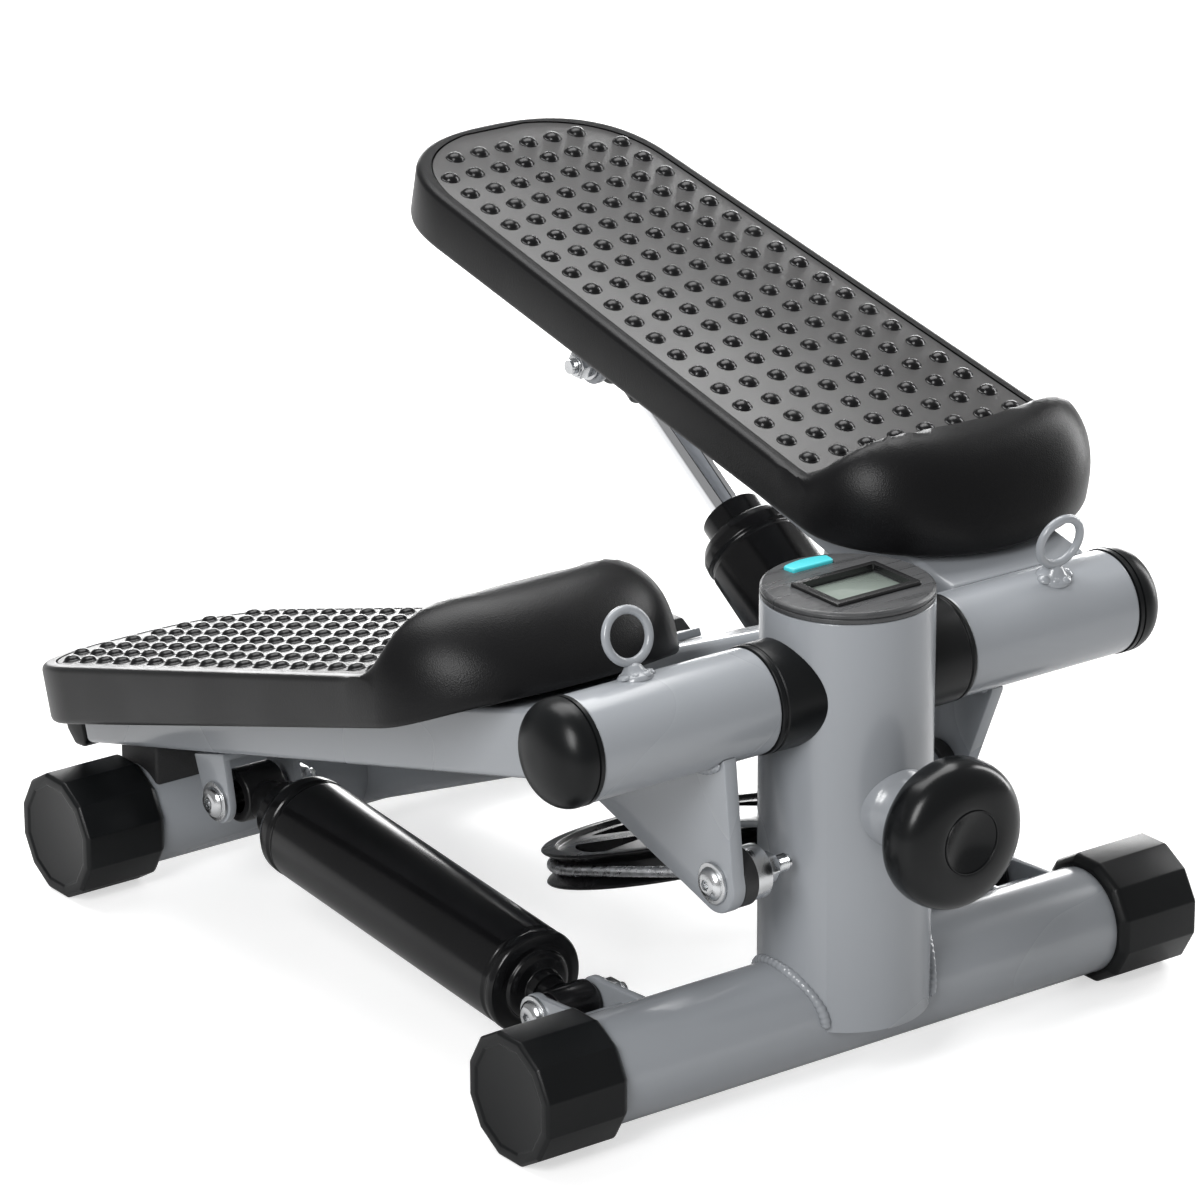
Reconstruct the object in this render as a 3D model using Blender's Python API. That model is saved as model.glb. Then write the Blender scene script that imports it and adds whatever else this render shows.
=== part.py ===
"""Twin-pedal mini stepper: tube base, adjusting knob, cable pulley, two pedals and two dampers.

Metres, +Z up, the floor at Z = 0. +X runs to the machine's right pedal, +Y towards the heels.
The post stands at X = Y = 0. The left pedal rests low on its stop and the right one is up.
"""

import math

import bmesh
import bpy
from mathutils import Matrix, Vector

MM = 0.001
GAP = 0.3 * MM

# Base
TUBE_R = 25 * MM
TUBE_WALL = 2 * MM
CAP_R = 30.8 * MM
TUBE_Z = CAP_R * math.cos(math.radians(15))
BASE_DEPTH = 370 * MM
CAP_OUT_X = 186 * MM
CAP_LEN = 45 * MM
CAP_END = 5 * MM

# Post, beam and axle
POST_R = 39 * MM
POST_WALL = 3 * MM
POST_FOOT_Z = 28 * MM
POST_TOP_Z = 222 * MM
AXLE_Z = 184.5 * MM
AXLE_R = 10 * MM
BEAM_W = 44 * MM
BEAM_H = 47 * MM
BEAM_WALL = 2.5 * MM
BEAM_FRONT_Z = 172 * MM

# Pivot tubes
PIVOT_R = 24 * MM
SEAM_IN_X = 55 * MM
SEAM_OUT_X = 150.6 * MM
DOME_X = 170 * MM

# Pedals, in the pedal's own frame: V runs to the heel, W stands off the axle
ANGLE_L = math.radians(-17)
ANGLE_R = math.radians(12.7)
TREAD_W = 40.5 * MM
HEEL_V = 440 * MM
ARM_END = 418 * MM
TOE_V = 27 * MM
CROWN_W = 68 * MM
BOUND_V = 88 * MM
TOE_X = (37 * MM, 191 * MM)
HEEL_X = (39.5 * MM, 174 * MM)
ARM_X = (70 * MM, 149 * MM)
RING_X = 113 * MM

# Levers and cable
LEVER_X = 80 * MM
LEVER_T = 7 * MM
EYE_V = 9.4 * MM
EYE_W = -75 * MM
CABLE_X = 64 * MM
CABLE_R = 2.4 * MM
PULLEY_Y = 115 * MM
PULLEY_Z = 67 * MM
PULLEY_R = 68 * MM
PULLEY_TILT = math.radians(18)

# Dampers
DAMPER_X = 118 * MM
LOW_PIVOT = (48 * MM, 38.6 * MM)
TOP_PIVOT_VW = (323 * MM, -32 * MM)
BODY_R = 25 * MM
BODY_END = 217 * MM
ROD_R = 7.5 * MM
ROD_LEN = 206 * MM
BOLT_R = 4 * MM

# Knob and display
KNOB_Z = 133 * MM
KNOB_R = 34.5 * MM
KNOB_FACE_Y = -88 * MM
KNOB_BACK_Y = -60 * MM
BEZEL_H = 5 * MM

SEG = 24
POST_SEG = 48
POST_PHASE = math.pi / POST_SEG

SWATCHES = {
    "grey_paint": ((0.33, 0.345, 0.36), 0.35, 0.4),
    "black_cap": ((0.02, 0.021, 0.022), 0.45, 0.0),
    "black_gloss": ((0.008, 0.008, 0.009), 0.18, 0.0),
    "pedal_black": ((0.022, 0.022, 0.023), 0.42, 0.0),
    "tread_grey": ((0.07, 0.07, 0.072), 0.5, 0.0),
    "chrome": ((0.85, 0.85, 0.86), 0.08, 1.0),
    "zinc": ((0.62, 0.63, 0.65), 0.3, 1.0),
    "rubber": ((0.015, 0.015, 0.016), 0.7, 0.0),
    "steel_cable": ((0.4, 0.41, 0.42), 0.4, 1.0),
    "bezel": ((0.05, 0.05, 0.052), 0.4, 0.0),
    "lcd": ((0.3, 0.34, 0.31), 0.15, 0.0),
    "cyan": ((0.1, 0.55, 0.6), 0.4, 0.0),
    "acetal": ((0.03, 0.03, 0.032), 0.35, 0.0),
}


def clear_scene():
    for obj in list(bpy.data.objects):
        bpy.data.objects.remove(obj, do_unlink=True)


def swatch(name):
    found = bpy.data.materials.get(name)
    if found:
        return found
    colour, rough, metal = SWATCHES[name]
    made = bpy.data.materials.new(name)
    made.use_nodes = True
    shader = made.node_tree.nodes["Principled BSDF"]
    shader.inputs["Base Color"].default_value = (*colour, 1)
    shader.inputs["Roughness"].default_value = rough
    shader.inputs["Metallic"].default_value = metal
    made.diffuse_color = (*colour, 1)
    return made


def add(name, verts, faces, look=None, smooth=False):
    """A mesh object from points and faces, its normals turned outwards."""
    mesh = bpy.data.meshes.new(name)
    bm = bmesh.new()
    made = [bm.verts.new(v) for v in verts]
    for face in faces:
        bm.faces.new([made[i] for i in face])
    bmesh.ops.remove_doubles(bm, verts=bm.verts, dist=1e-6)
    bmesh.ops.recalc_face_normals(bm, faces=bm.faces)
    bm.to_mesh(mesh)
    bm.free()
    obj = bpy.data.objects.new(name, mesh)
    bpy.context.scene.collection.objects.link(obj)
    if look:
        mesh.materials.append(swatch(look))
    if smooth:
        mesh.shade_smooth()
        mesh.set_sharp_from_angle(angle=math.radians(35))
    return obj


def axis_frame(origin, axis):
    """A matrix that takes local Z to the axis."""
    z = Vector(axis).normalized()
    x = Vector((0, 0, 1)).cross(z)
    if x.length < 1e-6:
        x = Vector((1, 0, 0))
    x.normalize()
    y = z.cross(x)
    turn = Matrix((x, y, z)).transposed().to_4x4()
    return Matrix.Translation(origin) @ turn


def lathe(name, profile, origin, axis, look=None, seg=SEG, phase=0.0):
    """Turns a closed (along, radius) outline about the axis. A point at radius 0 is a pole."""
    frame = axis_frame(origin, axis)
    verts = []
    rings = []
    for along, radius in profile:
        if radius < 1e-7:
            rings.append([len(verts)] * seg)
            verts.append(frame @ Vector((0, 0, along)))
            continue
        rings.append(list(range(len(verts), len(verts) + seg)))
        for k in range(seg):
            a = phase + 2 * math.pi * k / seg
            verts.append(frame @ Vector((radius * math.cos(a), radius * math.sin(a), along)))
    faces = []
    count = len(profile)
    for i in range(count):
        here = rings[i]
        there = rings[(i + 1) % count]
        for k in range(seg):
            m = (k + 1) % seg
            corners = [here[k], here[m], there[m], there[k]]
            face = list(dict.fromkeys(corners))
            if len(face) > 2:
                faces.append(face)
    return add(name, verts, faces, look, smooth=True)


def rod(name, radius, start, end, look=None, seg=SEG, bevel=0.0, phase=0.0):
    """A solid round bar from one point to another."""
    a = Vector(start)
    b = Vector(end)
    length = (b - a).length
    if bevel:
        profile = [
            (0, 0), (0, radius - bevel), (bevel, radius),
            (length - bevel, radius), (length, radius - bevel), (length, 0),
        ]
    else:
        profile = [(0, 0), (0, radius), (length, radius), (length, 0)]
    return lathe(name, profile, a, b - a, look, seg, phase)


def tube(name, radius, bore, start, end, look=None, seg=SEG, phase=0.0):
    """An open tube from one point to another."""
    a = Vector(start)
    b = Vector(end)
    length = (b - a).length
    profile = [(0, bore), (0, radius), (length, radius), (length, bore)]
    return lathe(name, profile, a, b - a, look, seg, phase)


def prism(name, outline, place, depth, look=None):
    """A flat outline of (u, v) pairs, pushed along the third axis of the place matrix."""
    count = len(outline)
    verts = [place @ Vector((u, v, 0)) for u, v in outline]
    verts += [place @ Vector((u, v, depth)) for u, v in outline]
    faces = [list(range(count))[::-1], list(range(count, 2 * count))]
    for k in range(count):
        m = (k + 1) % count
        faces.append([k, m, m + count, k + count])
    return add(name, verts, faces, look)


def block(name, low, high, look=None, place=None):
    """A box between two corners, put through the place matrix."""
    place = place or Matrix()
    verts = [
        place @ Vector((x, y, z))
        for x in (low[0], high[0])
        for y in (low[1], high[1])
        for z in (low[2], high[2])
    ]
    faces = [(0, 1, 3, 2), (4, 6, 7, 5), (0, 4, 5, 1), (2, 3, 7, 6), (0, 2, 6, 4), (1, 5, 7, 3)]
    return add(name, verts, faces, look)


def combine(target, other, how):
    """Cuts or joins a hidden helper with the exact solver."""
    other.hide_render = True
    other.display_type = "WIRE"
    made = target.modifiers.new(other.name, "BOOLEAN")
    made.object = other
    made.operation = how
    made.solver = "EXACT"


def cut(target, other):
    combine(target, other, "DIFFERENCE")


def join(target, other):
    combine(target, other, "UNION")


def arc(cx, cy, radius, start, end, steps):
    """Points of a circular arc, angles in degrees."""
    points = []
    for k in range(steps + 1):
        a = math.radians(start + (end - start) * k / steps)
        points.append((cx + radius * math.cos(a), cy + radius * math.sin(a)))
    return points


def pedal_place(angle):
    """Pedal frame to world: local X stays X, local Y is V, local Z is W."""
    return Matrix.Translation((0, 0, AXLE_Z)) @ Matrix.Rotation(angle, 4, "X")


def side_plane(place, x):
    """Takes (v, w) outlines to a plate that starts at x and grows along +X."""
    turn = Matrix(((0, 0, 1, x), (1, 0, 0, 0), (0, 1, 0, 0), (0, 0, 0, 1)))
    return place @ turn


def foot_cap(name, side, y):
    """A twelve-sided cup over a tube end, standing on one of its flats."""
    start = (side * (CAP_OUT_X - CAP_LEN), y, TUBE_Z)
    outer = [(0, 0), (0, CAP_R), (CAP_LEN, CAP_R), (CAP_LEN, 0)]
    cap = lathe(name, outer, start, (side, 0, 0), "black_cap", 12, math.radians(15))
    bore_end = (side * (CAP_OUT_X - CAP_END), y, TUBE_Z)
    bore_start = (side * (CAP_OUT_X - CAP_LEN - 5 * MM), y, TUBE_Z)
    cut(cap, rod(name + "_bore", TUBE_R + GAP, bore_start, bore_end))


def cross_tube(name, y):
    half = CAP_OUT_X - CAP_END - 2 * MM
    bore = TUBE_R - TUBE_WALL
    return tube(name, TUBE_R, bore, (-half, y, TUBE_Z), (half, y, TUBE_Z), "grey_paint")


def base_frame():
    cross_tube("front_cross_tube", 0)
    cross_tube("rear_cross_tube", BASE_DEPTH)
    for tag, side in (("L", -1), ("R", 1)):
        foot_cap("front_foot_cap_" + tag, side, 0)
        foot_cap("rear_foot_cap_" + tag, side, BASE_DEPTH)


def post():
    """The upright: saddled over the front tube, with holes for the axle and the spindle."""
    foot = (0, 0, POST_FOOT_Z)
    top = (0, 0, POST_TOP_Z)
    body = tube("post", POST_R, POST_R - POST_WALL, foot, top, "grey_paint", POST_SEG, POST_PHASE)
    reach = POST_R + 10 * MM
    saddle = [*arc(0, TUBE_Z, TUBE_R + GAP, 0, 180, 20), (-TUBE_R - GAP, 0), (TUBE_R + GAP, 0)]
    cut(body, prism("post_saddle_cut", saddle, side_plane(Matrix(), -reach), 2 * reach))
    cut(body, rod("post_axle_cut", AXLE_R + GAP, (-reach, 0, AXLE_Z), (reach, 0, AXLE_Z)))
    cut(body, rod("post_spindle_cut", 6.3 * MM, (0, -reach, KNOB_Z), (0, reach, KNOB_Z)))


def post_space(name):
    """The room that a neighbour leaves for the post."""
    ends = (0, 0, 60 * MM), (0, 0, 300 * MM)
    return rod(name, POST_R + GAP, *ends, None, POST_SEG, 0.0, POST_PHASE)


def beam_matrix():
    """Frame of the sloping beam: local Y runs up and forward to the post."""
    low = Vector((0, BASE_DEPTH, TUBE_Z))
    high = Vector((0, POST_R, BEAM_FRONT_Z))
    along = (high - low).normalized()
    across = Vector((1, 0, 0))
    up = across.cross(along)
    if up.z < 0:
        across = -across
        up = -up
    turn = Matrix((across, along, up)).transposed().to_4x4()
    return Matrix.Translation(low) @ turn, (high - low).length


def main_beam():
    """Box-section beam from the middle of the rear tube up to the back of the post."""
    place, length = beam_matrix()
    half_w = BEAM_W / 2
    half_h = BEAM_H / 2
    start = -5 * MM
    end = length + 30 * MM
    beam = block(
        "main_beam", (-half_w, start, -half_h), (half_w, end, half_h), "grey_paint", place
    )
    thin = BEAM_WALL
    hollow = block(
        "beam_bore",
        (-half_w + thin, start - 10 * MM, -half_h + thin),
        (half_w - thin, end + 10 * MM, half_h - thin),
        None,
        place,
    )
    cut(beam, hollow)
    reach = 60 * MM
    rear = (0, BASE_DEPTH, TUBE_Z)
    cut(beam, rod("beam_rear_cut", TUBE_R + GAP, (-reach, *rear[1:]), (reach, *rear[1:])))
    cut(beam, post_space("beam_post_cut"))
    cut(beam, block("beam_floor_cut", (-reach, 330 * MM, -50 * MM), (reach, 420 * MM, 6 * MM)))
    block(
        "beam_plate", (-14 * MM, 262 * MM, 0), (34 * MM, 279 * MM, 4 * MM), "grey_paint",
        place @ Matrix.Translation((0, 0, half_h + GAP)),
    )


def axle():
    reach = SEAM_OUT_X - 2 * MM
    rod("pivot_axle", AXLE_R, (-reach, 0, AXLE_Z), (reach, 0, AXLE_Z), "zinc", 24, 1 * MM)


def collar(tag, side):
    """Black ring that fills the space between the post and a pivot tube."""
    inner = (side * 20 * MM, 0, AXLE_Z)
    ring = lathe(
        "post_collar_" + tag,
        [
            (0, AXLE_R + GAP), (0, PIVOT_R + 0.8 * MM), (33.2 * MM, PIVOT_R + 0.8 * MM),
            (34.5 * MM, PIVOT_R), (34.7 * MM, AXLE_R + GAP),
        ],
        inner, (side, 0, 0), "black_cap",
    )
    cut(ring, post_space("collar_cut_" + tag))


def pivot_tube(tag, side):
    start = (side * SEAM_IN_X, 0, AXLE_Z)
    end = (side * SEAM_OUT_X, 0, AXLE_Z)
    tube("pivot_tube_" + tag, PIVOT_R, PIVOT_R - 2.5 * MM, start, end, "grey_paint")
    bush_end = (side * (SEAM_OUT_X - 1 * MM), 0, AXLE_Z)
    bush_start = (side * (SEAM_IN_X + 1 * MM), 0, AXLE_Z)
    tube(
        "pivot_bush_" + tag, PIVOT_R - 2.8 * MM, AXLE_R + GAP, bush_start, bush_end, "acetal", 24
    )


def dome_cap(tag, side):
    """Domed plug on the pivot tube's outer end."""
    start = SEAM_OUT_X + GAP
    length = DOME_X - start
    skirt = 5 * MM
    profile = [(0, 0), (0, PIVOT_R + 0.5 * MM), (skirt, PIVOT_R + 0.5 * MM)]
    steps = 7
    for k in range(1, steps):
        a = math.pi / 2 * k / steps
        along = skirt + (length - skirt) * math.sin(a)
        profile.append((along, (PIVOT_R + 0.5 * MM) * math.cos(a) ** 0.8))
    profile.append((length, 0))
    lathe("end_dome_" + tag, profile, (side * start, 0, AXLE_Z), (side, 0, 0), "black_cap")


def eye_ring(tag, side, place):
    """Round-wire ring welded on top of a pivot tube, an anchor for a band."""
    wire = 2 * MM
    loop = 11.5 * MM
    seat = PIVOT_R + GAP
    centre = Vector((side * RING_X, -1.5 * MM, seat + 4 * MM + loop + wire))
    verts = []
    faces = []
    around, across = 20, 8
    for i in range(around):
        a = 2 * math.pi * i / around
        for j in range(across):
            b = 2 * math.pi * j / across
            r = loop + wire * math.cos(b)
            offset = Vector((r * math.sin(a), wire * math.sin(b), r * math.cos(a)))
            verts.append(place @ (centre + offset))
    for i in range(around):
        for j in range(across):
            k = (i + 1) % around
            m = (j + 1) % across
            faces.append((i * across + j, i * across + m, k * across + m, k * across + j))
    ring = add("eye_ring_" + tag, verts, faces, "grey_paint", smooth=True)
    low = place @ Vector((side * RING_X, -1.5 * MM, PIVOT_R - 4 * MM))
    high = place @ Vector((side * RING_X, -1.5 * MM, seat + 4.5 * MM))
    join(ring, rod("eye_foot_" + tag, 4.5 * MM, low, high, None, 16, 0.8 * MM))
    ends = [place @ Vector((side * x, 0, 0)) for x in (RING_X - 20 * MM, RING_X + 20 * MM)]
    cut(ring, rod("eye_seat_" + tag, PIVOT_R + GAP, *ends))


def lever(tag, side, place):
    """Triangular plate under the pivot tube and arm, with the cable bolt at its tip."""
    outline = [
        (EYE_V - 14 * MM, EYE_W + 2 * MM), *arc(EYE_V, EYE_W, 14 * MM, 190, 300, 7),
        (112 * MM, -24 * MM), (112 * MM, -12 * MM), (-12 * MM, -10 * MM), (-14 * MM, -22 * MM),
    ]
    x = side * LEVER_X - LEVER_T / 2
    plate = prism("lever_" + tag, outline, side_plane(place, x), LEVER_T, "grey_paint")
    ends = [place @ Vector((side * LEVER_X + d, 0, 0)) for d in (-20 * MM, 20 * MM)]
    cut(plate, rod("lever_seat_" + tag, PIVOT_R + GAP, *ends))
    hole = [place @ Vector((side * LEVER_X + d, EYE_V, EYE_W)) for d in (-20 * MM, 20 * MM)]
    cut(plate, rod("lever_hole_" + tag, BOLT_R + GAP, *hole, None, 20))
    arm_space = arm_block("lever_arm_cut_" + tag, side, place, GAP)
    cut(plate, arm_space)


def stack_point(side, inward, place, v, w):
    """A point that lies this far inward from the lever's outer face."""
    x = side * (LEVER_X + LEVER_T / 2 - inward)
    return place @ Vector((x, v, w))


def dome_bolt(name, start, direction, shank, head_r=7.5 * MM, nut_at=None):
    """Dome-head bolt: head before the start point, shank along the direction, nut if wanted."""
    head = 5 * MM
    profile = [
        (-head, 0), (-head, 2.2 * MM), (-head + 1 * MM, 5 * MM), (-head + 2.6 * MM, head_r),
        (-1.5 * MM, head_r), (-1.5 * MM, head_r + 2 * MM), (0, head_r + 2 * MM),
        (0, BOLT_R), (shank - 1 * MM, BOLT_R), (shank, BOLT_R - 1 * MM), (shank, 0),
    ]
    if nut_at is not None:
        profile[8:9] = [
            (nut_at, BOLT_R), (nut_at, 8.5 * MM), (nut_at + 1.5 * MM, 8.5 * MM),
            (nut_at + 1.5 * MM, 7.2 * MM), (nut_at + 7.5 * MM, 7.2 * MM),
            (nut_at + 8.5 * MM, 5 * MM), (nut_at + 8.5 * MM, BOLT_R), (shank - 1 * MM, BOLT_R),
        ]
    return lathe(name, profile, start, direction, "zinc", 12)


def pulley_place():
    """Pulley frame: its front edge is raised so that the cable runs straight on to it."""
    return Matrix.Translation((0, PULLEY_Y, PULLEY_Z)) @ Matrix.Rotation(-PULLEY_TILT, 4, "X")


def cable_tangent(side):
    """Where the cable's straight run meets the pulley."""
    return pulley_place() @ Vector((side * CABLE_X, 0, 0))


def lever_bolt(tag, side, place):
    """Bolt through the lever, and the ring terminal and ferrule that hold the cable's end."""
    start = stack_point(side, -GAP, place, EYE_V, EYE_W)
    nut_at = LEVER_X + LEVER_T / 2 - CABLE_X + 4.6 * MM
    dome_bolt("lever_bolt_" + tag, start, (-side, 0, 0), 41 * MM, nut_at=nut_at)
    mid = (LEVER_X + LEVER_T / 2) - CABLE_X
    low = stack_point(side, mid - 4.5 * MM, place, EYE_V, EYE_W)
    high = stack_point(side, mid + 4 * MM, place, EYE_V, EYE_W)
    ring = tube("cable_terminal_" + tag, 10.5 * MM, BOLT_R + GAP, low, high, "zinc", 24)
    face = stack_point(side, LEVER_T + GAP, place, EYE_V, EYE_W)
    sleeve = tube("terminal_sleeve_" + tag, 8 * MM, BOLT_R + GAP, face, high, None, 24)
    join(ring, sleeve)
    eye = place @ Vector((side * CABLE_X, EYE_V, EYE_W))
    run = (cable_tangent(side) - eye).normalized()
    near = eye + run * 7 * MM
    far = eye + run * 30 * MM
    join(ring, rod("terminal_neck_" + tag, 4.2 * MM, near, far, None, 16, 0.8 * MM))
    socket = [eye + run * 18 * MM, eye + run * 40 * MM]
    cut(ring, rod("terminal_socket_" + tag, CABLE_R + GAP, *socket, None, 12))


def arm_outline():
    """Side view of the tapered pedal arm in (v, w)."""
    return [
        (16 * MM, -15 * MM), (ARM_END, -3 * MM), (ARM_END, 13 * MM),
        (90 * MM, 18 * MM), (16 * MM, 18 * MM),
    ]


def arm_block(name, side, place, grow):
    x0, x1 = sorted((side * ARM_X[0], side * ARM_X[1]))
    outline = [(v, w - grow if w < 0 else w + grow) for v, w in arm_outline()]
    return prism(name, outline, side_plane(place, x0 - grow), x1 - x0 + 2 * grow)


def pedal_arm(tag, side, place):
    """Tapered box arm under the footplate, its front end coped round the pivot tube."""
    arm = arm_block("pedal_arm_" + tag, side, place, 0)
    arm.data.materials.append(swatch("grey_paint"))
    x0, x1 = sorted((side * ARM_X[0], side * ARM_X[1]))
    thin = 2.5 * MM
    inside = [
        (10 * MM, -15 * MM + thin), (ARM_END + 9 * MM, -3 * MM + thin),
        (ARM_END + 9 * MM, 13 * MM - thin), (90 * MM, 18 * MM - thin), (10 * MM, 18 * MM - thin),
    ]
    bore = prism("arm_bore_" + tag, inside, side_plane(place, x0 + thin), x1 - x0 - 2 * thin)
    cut(arm, bore)
    ends = [place @ Vector((x, 0, 0)) for x in (x0 - 5 * MM, x1 + 5 * MM)]
    cut(arm, rod("arm_cope_" + tag, PIVOT_R + GAP, *ends))
    plug_outline = [
        (ARM_END + GAP, -3 * MM), (ARM_END + 4 * MM, -5.5 * MM), (ARM_END + 12 * MM, -4 * MM),
        (ARM_END + 17 * MM, 4 * MM), (ARM_END + 17 * MM, 10 * MM), (ARM_END + GAP, 10 * MM),
    ]
    plug = prism(
        "arm_plug_" + tag, plug_outline, side_plane(place, x0), x1 - x0, "black_cap"
    )
    tongue = block(
        "plug_tongue_" + tag, (x0 + 3 * MM, ARM_END - 13 * MM, 0), (x1 - 3 * MM, ARM_END + 4 * MM, 5 * MM),
        None, place,
    )
    join(plug, tongue)


def pedal_edges(v):
    """Inner and outer X of the footplate at v, with rounded toe and heel."""
    share = min(max((v - BOUND_V) / (HEEL_V - BOUND_V), 0), 1)
    low = TOE_X[0] + (HEEL_X[0] - TOE_X[0]) * share
    high = TOE_X[1] + (HEEL_X[1] - TOE_X[1]) * share
    mid = (low + high) / 2
    half = (high - low) / 2
    heel_len = 62 * MM
    toe_len = 61 * MM
    squeeze = 1.0
    if v > HEEL_V - heel_len:
        s = min((v - HEEL_V + heel_len) / heel_len, 1)
        squeeze = max(1 - s**2.5, 0) ** (1 / 2.5)
    if v < TOE_V + toe_len:
        s = min((TOE_V + toe_len - v) / toe_len, 1)
        squeeze = max(1 - s**2.1, 0) ** (1 / 2.1)
    return mid - half * squeeze, mid + half * squeeze


def ease(t):
    t = min(max(t, 0), 1)
    return t * t * (3 - 2 * t)


def pedal_heights(v):
    """Underside and crown height above the axle at v."""
    share = min(max((v - BOUND_V) / (HEEL_V - BOUND_V), 0), 1)
    under = 17 * MM - 5.5 * MM * share
    if v < BOUND_V:
        under += 5 * MM * ease((BOUND_V - v) / (BOUND_V - TOE_V))
    rise = ease((BOUND_V + 2 * MM - v) / (22 * MM))
    nose = min(max((TOE_V + 38 * MM - v) / (38 * MM), 0), 1)
    crown = TREAD_W + (CROWN_W - TREAD_W) * rise
    crown -= (crown - under - 4 * MM) * (1 - math.sqrt(1 - nose**2.4))
    return under, crown


def footplate_section(v, points):
    """One closed (x, w) ring of the footplate: flat sides below, a dome where there is one."""
    low, high = pedal_edges(v)
    under, crown = pedal_heights(v)
    mid = (low + high) / 2
    half = max((high - low) / 2, 1 * MM)
    rise = crown - TREAD_W
    ring = [(mid - half * 0.985, under), (mid + half * 0.985, under)]
    for k in range(points):
        t = 1 - 2 * k / (points - 1)
        side = abs(t) ** 4
        shoulder = min(TREAD_W - rise * 0.2, crown - (crown - under) * 0.45)
        top = shoulder + (crown - shoulder) * (1 - side)
        ring.append((mid + half * t, top if v < BOUND_V + 1 * MM else TREAD_W))
    return ring


def stations():
    steps = [TOE_V + d * MM for d in (0.3, 1.5, 4, 8, 13, 19, 26, 33, 39, 43, 47, 51, 55, 59)]
    steps += [BOUND_V + 2 * MM, 240 * MM, HEEL_V - 62 * MM]
    steps += [HEEL_V - d * MM for d in (48, 36, 25, 16, 9, 4, 1)]
    return steps


def footplate(tag, side, place):
    """Moulded footplate with its raised toe cap, recessed for the tread mat."""
    points = 13
    verts = []
    faces = []
    marks = stations()
    for v in marks:
        for x, w in footplate_section(v, points):
            verts.append(place @ Vector((side * x, v, w)))
    size = points + 2
    for i in range(len(marks) - 1):
        for j in range(size):
            m = (j + 1) % size
            a, b = i * size, (i + 1) * size
            faces.append((a + j, a + m, b + m, b + j))
    faces.append(list(range(size)))
    faces.append(list(range(len(verts) - size, len(verts))))
    plate = add("footplate_" + tag, verts, faces, "pedal_black", smooth=True)
    recess = mat_outline(6 * MM)
    top = place @ Matrix.Translation((0, 0, TREAD_W - 2.5 * MM))
    outline = [(side * x, v) for x, v in recess]
    cut(plate, prism("mat_recess_" + tag, outline, top, 8 * MM))
    cut(plate, arm_block("plate_arm_cut_" + tag, side, place, GAP))
    mat = [(side * x, v) for x, v in mat_outline(6.5 * MM)]
    seat = place @ Matrix.Translation((0, 0, TREAD_W - 2.5 * MM + GAP))
    prism("tread_mat_" + tag, mat, seat, 2.2 * MM, "tread_grey")


def mat_outline(inset):
    """Tread outline: straight at the toe cap, following the footplate's heel."""
    start = BOUND_V + inset
    marks = [start, 240 * MM]
    marks += [HEEL_V - 62 * MM + (62 * MM - inset) * s for s in (0, 0.3, 0.55, 0.75, 0.9, 0.98)]
    inner = []
    outer = []
    for v in marks:
        stretch = (v - start) / (HEEL_V - inset - start)
        low, high = pedal_edges(v + inset * 0.7 * stretch)
        low += inset
        high -= inset
        inner.append((low, v))
        outer.append((high, v))
    return inner + outer[::-1]


def top_pivot(place, x):
    v, w = TOP_PIVOT_VW
    return place @ Vector((x, v, w))


def upper_bracket(tag, side, place):
    """U bracket under the arm with two ears, and the bolt that carries the rod's eye."""
    v, w = TOP_PIVOT_VW
    ear = [*arc(v, w, 11 * MM, 180, 360, 10), (v + 13 * MM, -8.5 * MM), (v - 13 * MM, -8.5 * MM)]
    x_low = side * DAMPER_X - 21 * MM
    bracket = prism("upper_bracket_" + tag, ear, side_plane(place, x_low), 4 * MM, "grey_paint")
    far = prism("bracket_ear_" + tag, ear, side_plane(place, x_low + 38 * MM), 4 * MM)
    join(bracket, far)
    web = block(
        "bracket_web_" + tag,
        (x_low + 1 * MM, v - 12.9 * MM, -13 * MM),
        (x_low + 41 * MM, v + 12.9 * MM, -8.9 * MM),
        None, place,
    )
    join(bracket, web)
    hole = [top_pivot(place, side * DAMPER_X + d) for d in (-30 * MM, 30 * MM)]
    cut(bracket, rod("bracket_hole_" + tag, BOLT_R + GAP, *hole, None, 20))
    cut(bracket, arm_block("bracket_arm_cut_" + tag, side, place, GAP))
    start = top_pivot(place, side * (DAMPER_X + 21 * MM + GAP))
    dome_bolt("upper_bolt_" + tag, start, (-side, 0, 0), 55 * MM, nut_at=42.8 * MM)


def damper_axis(place):
    low = Vector((0, *LOW_PIVOT))
    high = top_pivot(place, 0)
    return low, high, (high - low).normalized()


def lower_clevis(tag, side):
    """Two ears on the back of the front tube with the damper's lower bolt."""
    y, z = LOW_PIVOT
    ear = [
        (12 * MM, TUBE_Z - 8 * MM), *arc(y, z, 10 * MM, -70, 110, 8), (12 * MM, TUBE_Z + 21 * MM),
    ]
    x_low = side * DAMPER_X - 18 * MM
    world = Matrix()
    clevis = prism("lower_clevis_" + tag, ear, side_plane(world, x_low), 4 * MM, "grey_paint")
    far = prism("clevis_ear_" + tag, ear, side_plane(world, x_low + 32 * MM), 4 * MM)
    join(clevis, far)
    web = block(
        "clevis_web_" + tag,
        (x_low + 1 * MM, 20 * MM, TUBE_Z - 7 * MM), (x_low + 35 * MM, 28.5 * MM, TUBE_Z + 14 * MM),
    )
    join(clevis, web)
    ends = [(x_low + d, 0, TUBE_Z) for d in (-10 * MM, 46 * MM)]
    cut(clevis, rod("clevis_seat_" + tag, TUBE_R + GAP, *ends))
    hole = [(x_low + d, y, z) for d in (-10 * MM, 46 * MM)]
    cut(clevis, rod("clevis_hole_" + tag, BOLT_R + GAP, *hole, None, 20))
    start = (side * (DAMPER_X + 18 * MM + GAP), y, z)
    dome_bolt("lower_bolt_" + tag, start, (-side, 0, 0), 49 * MM, nut_at=36.8 * MM)


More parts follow.
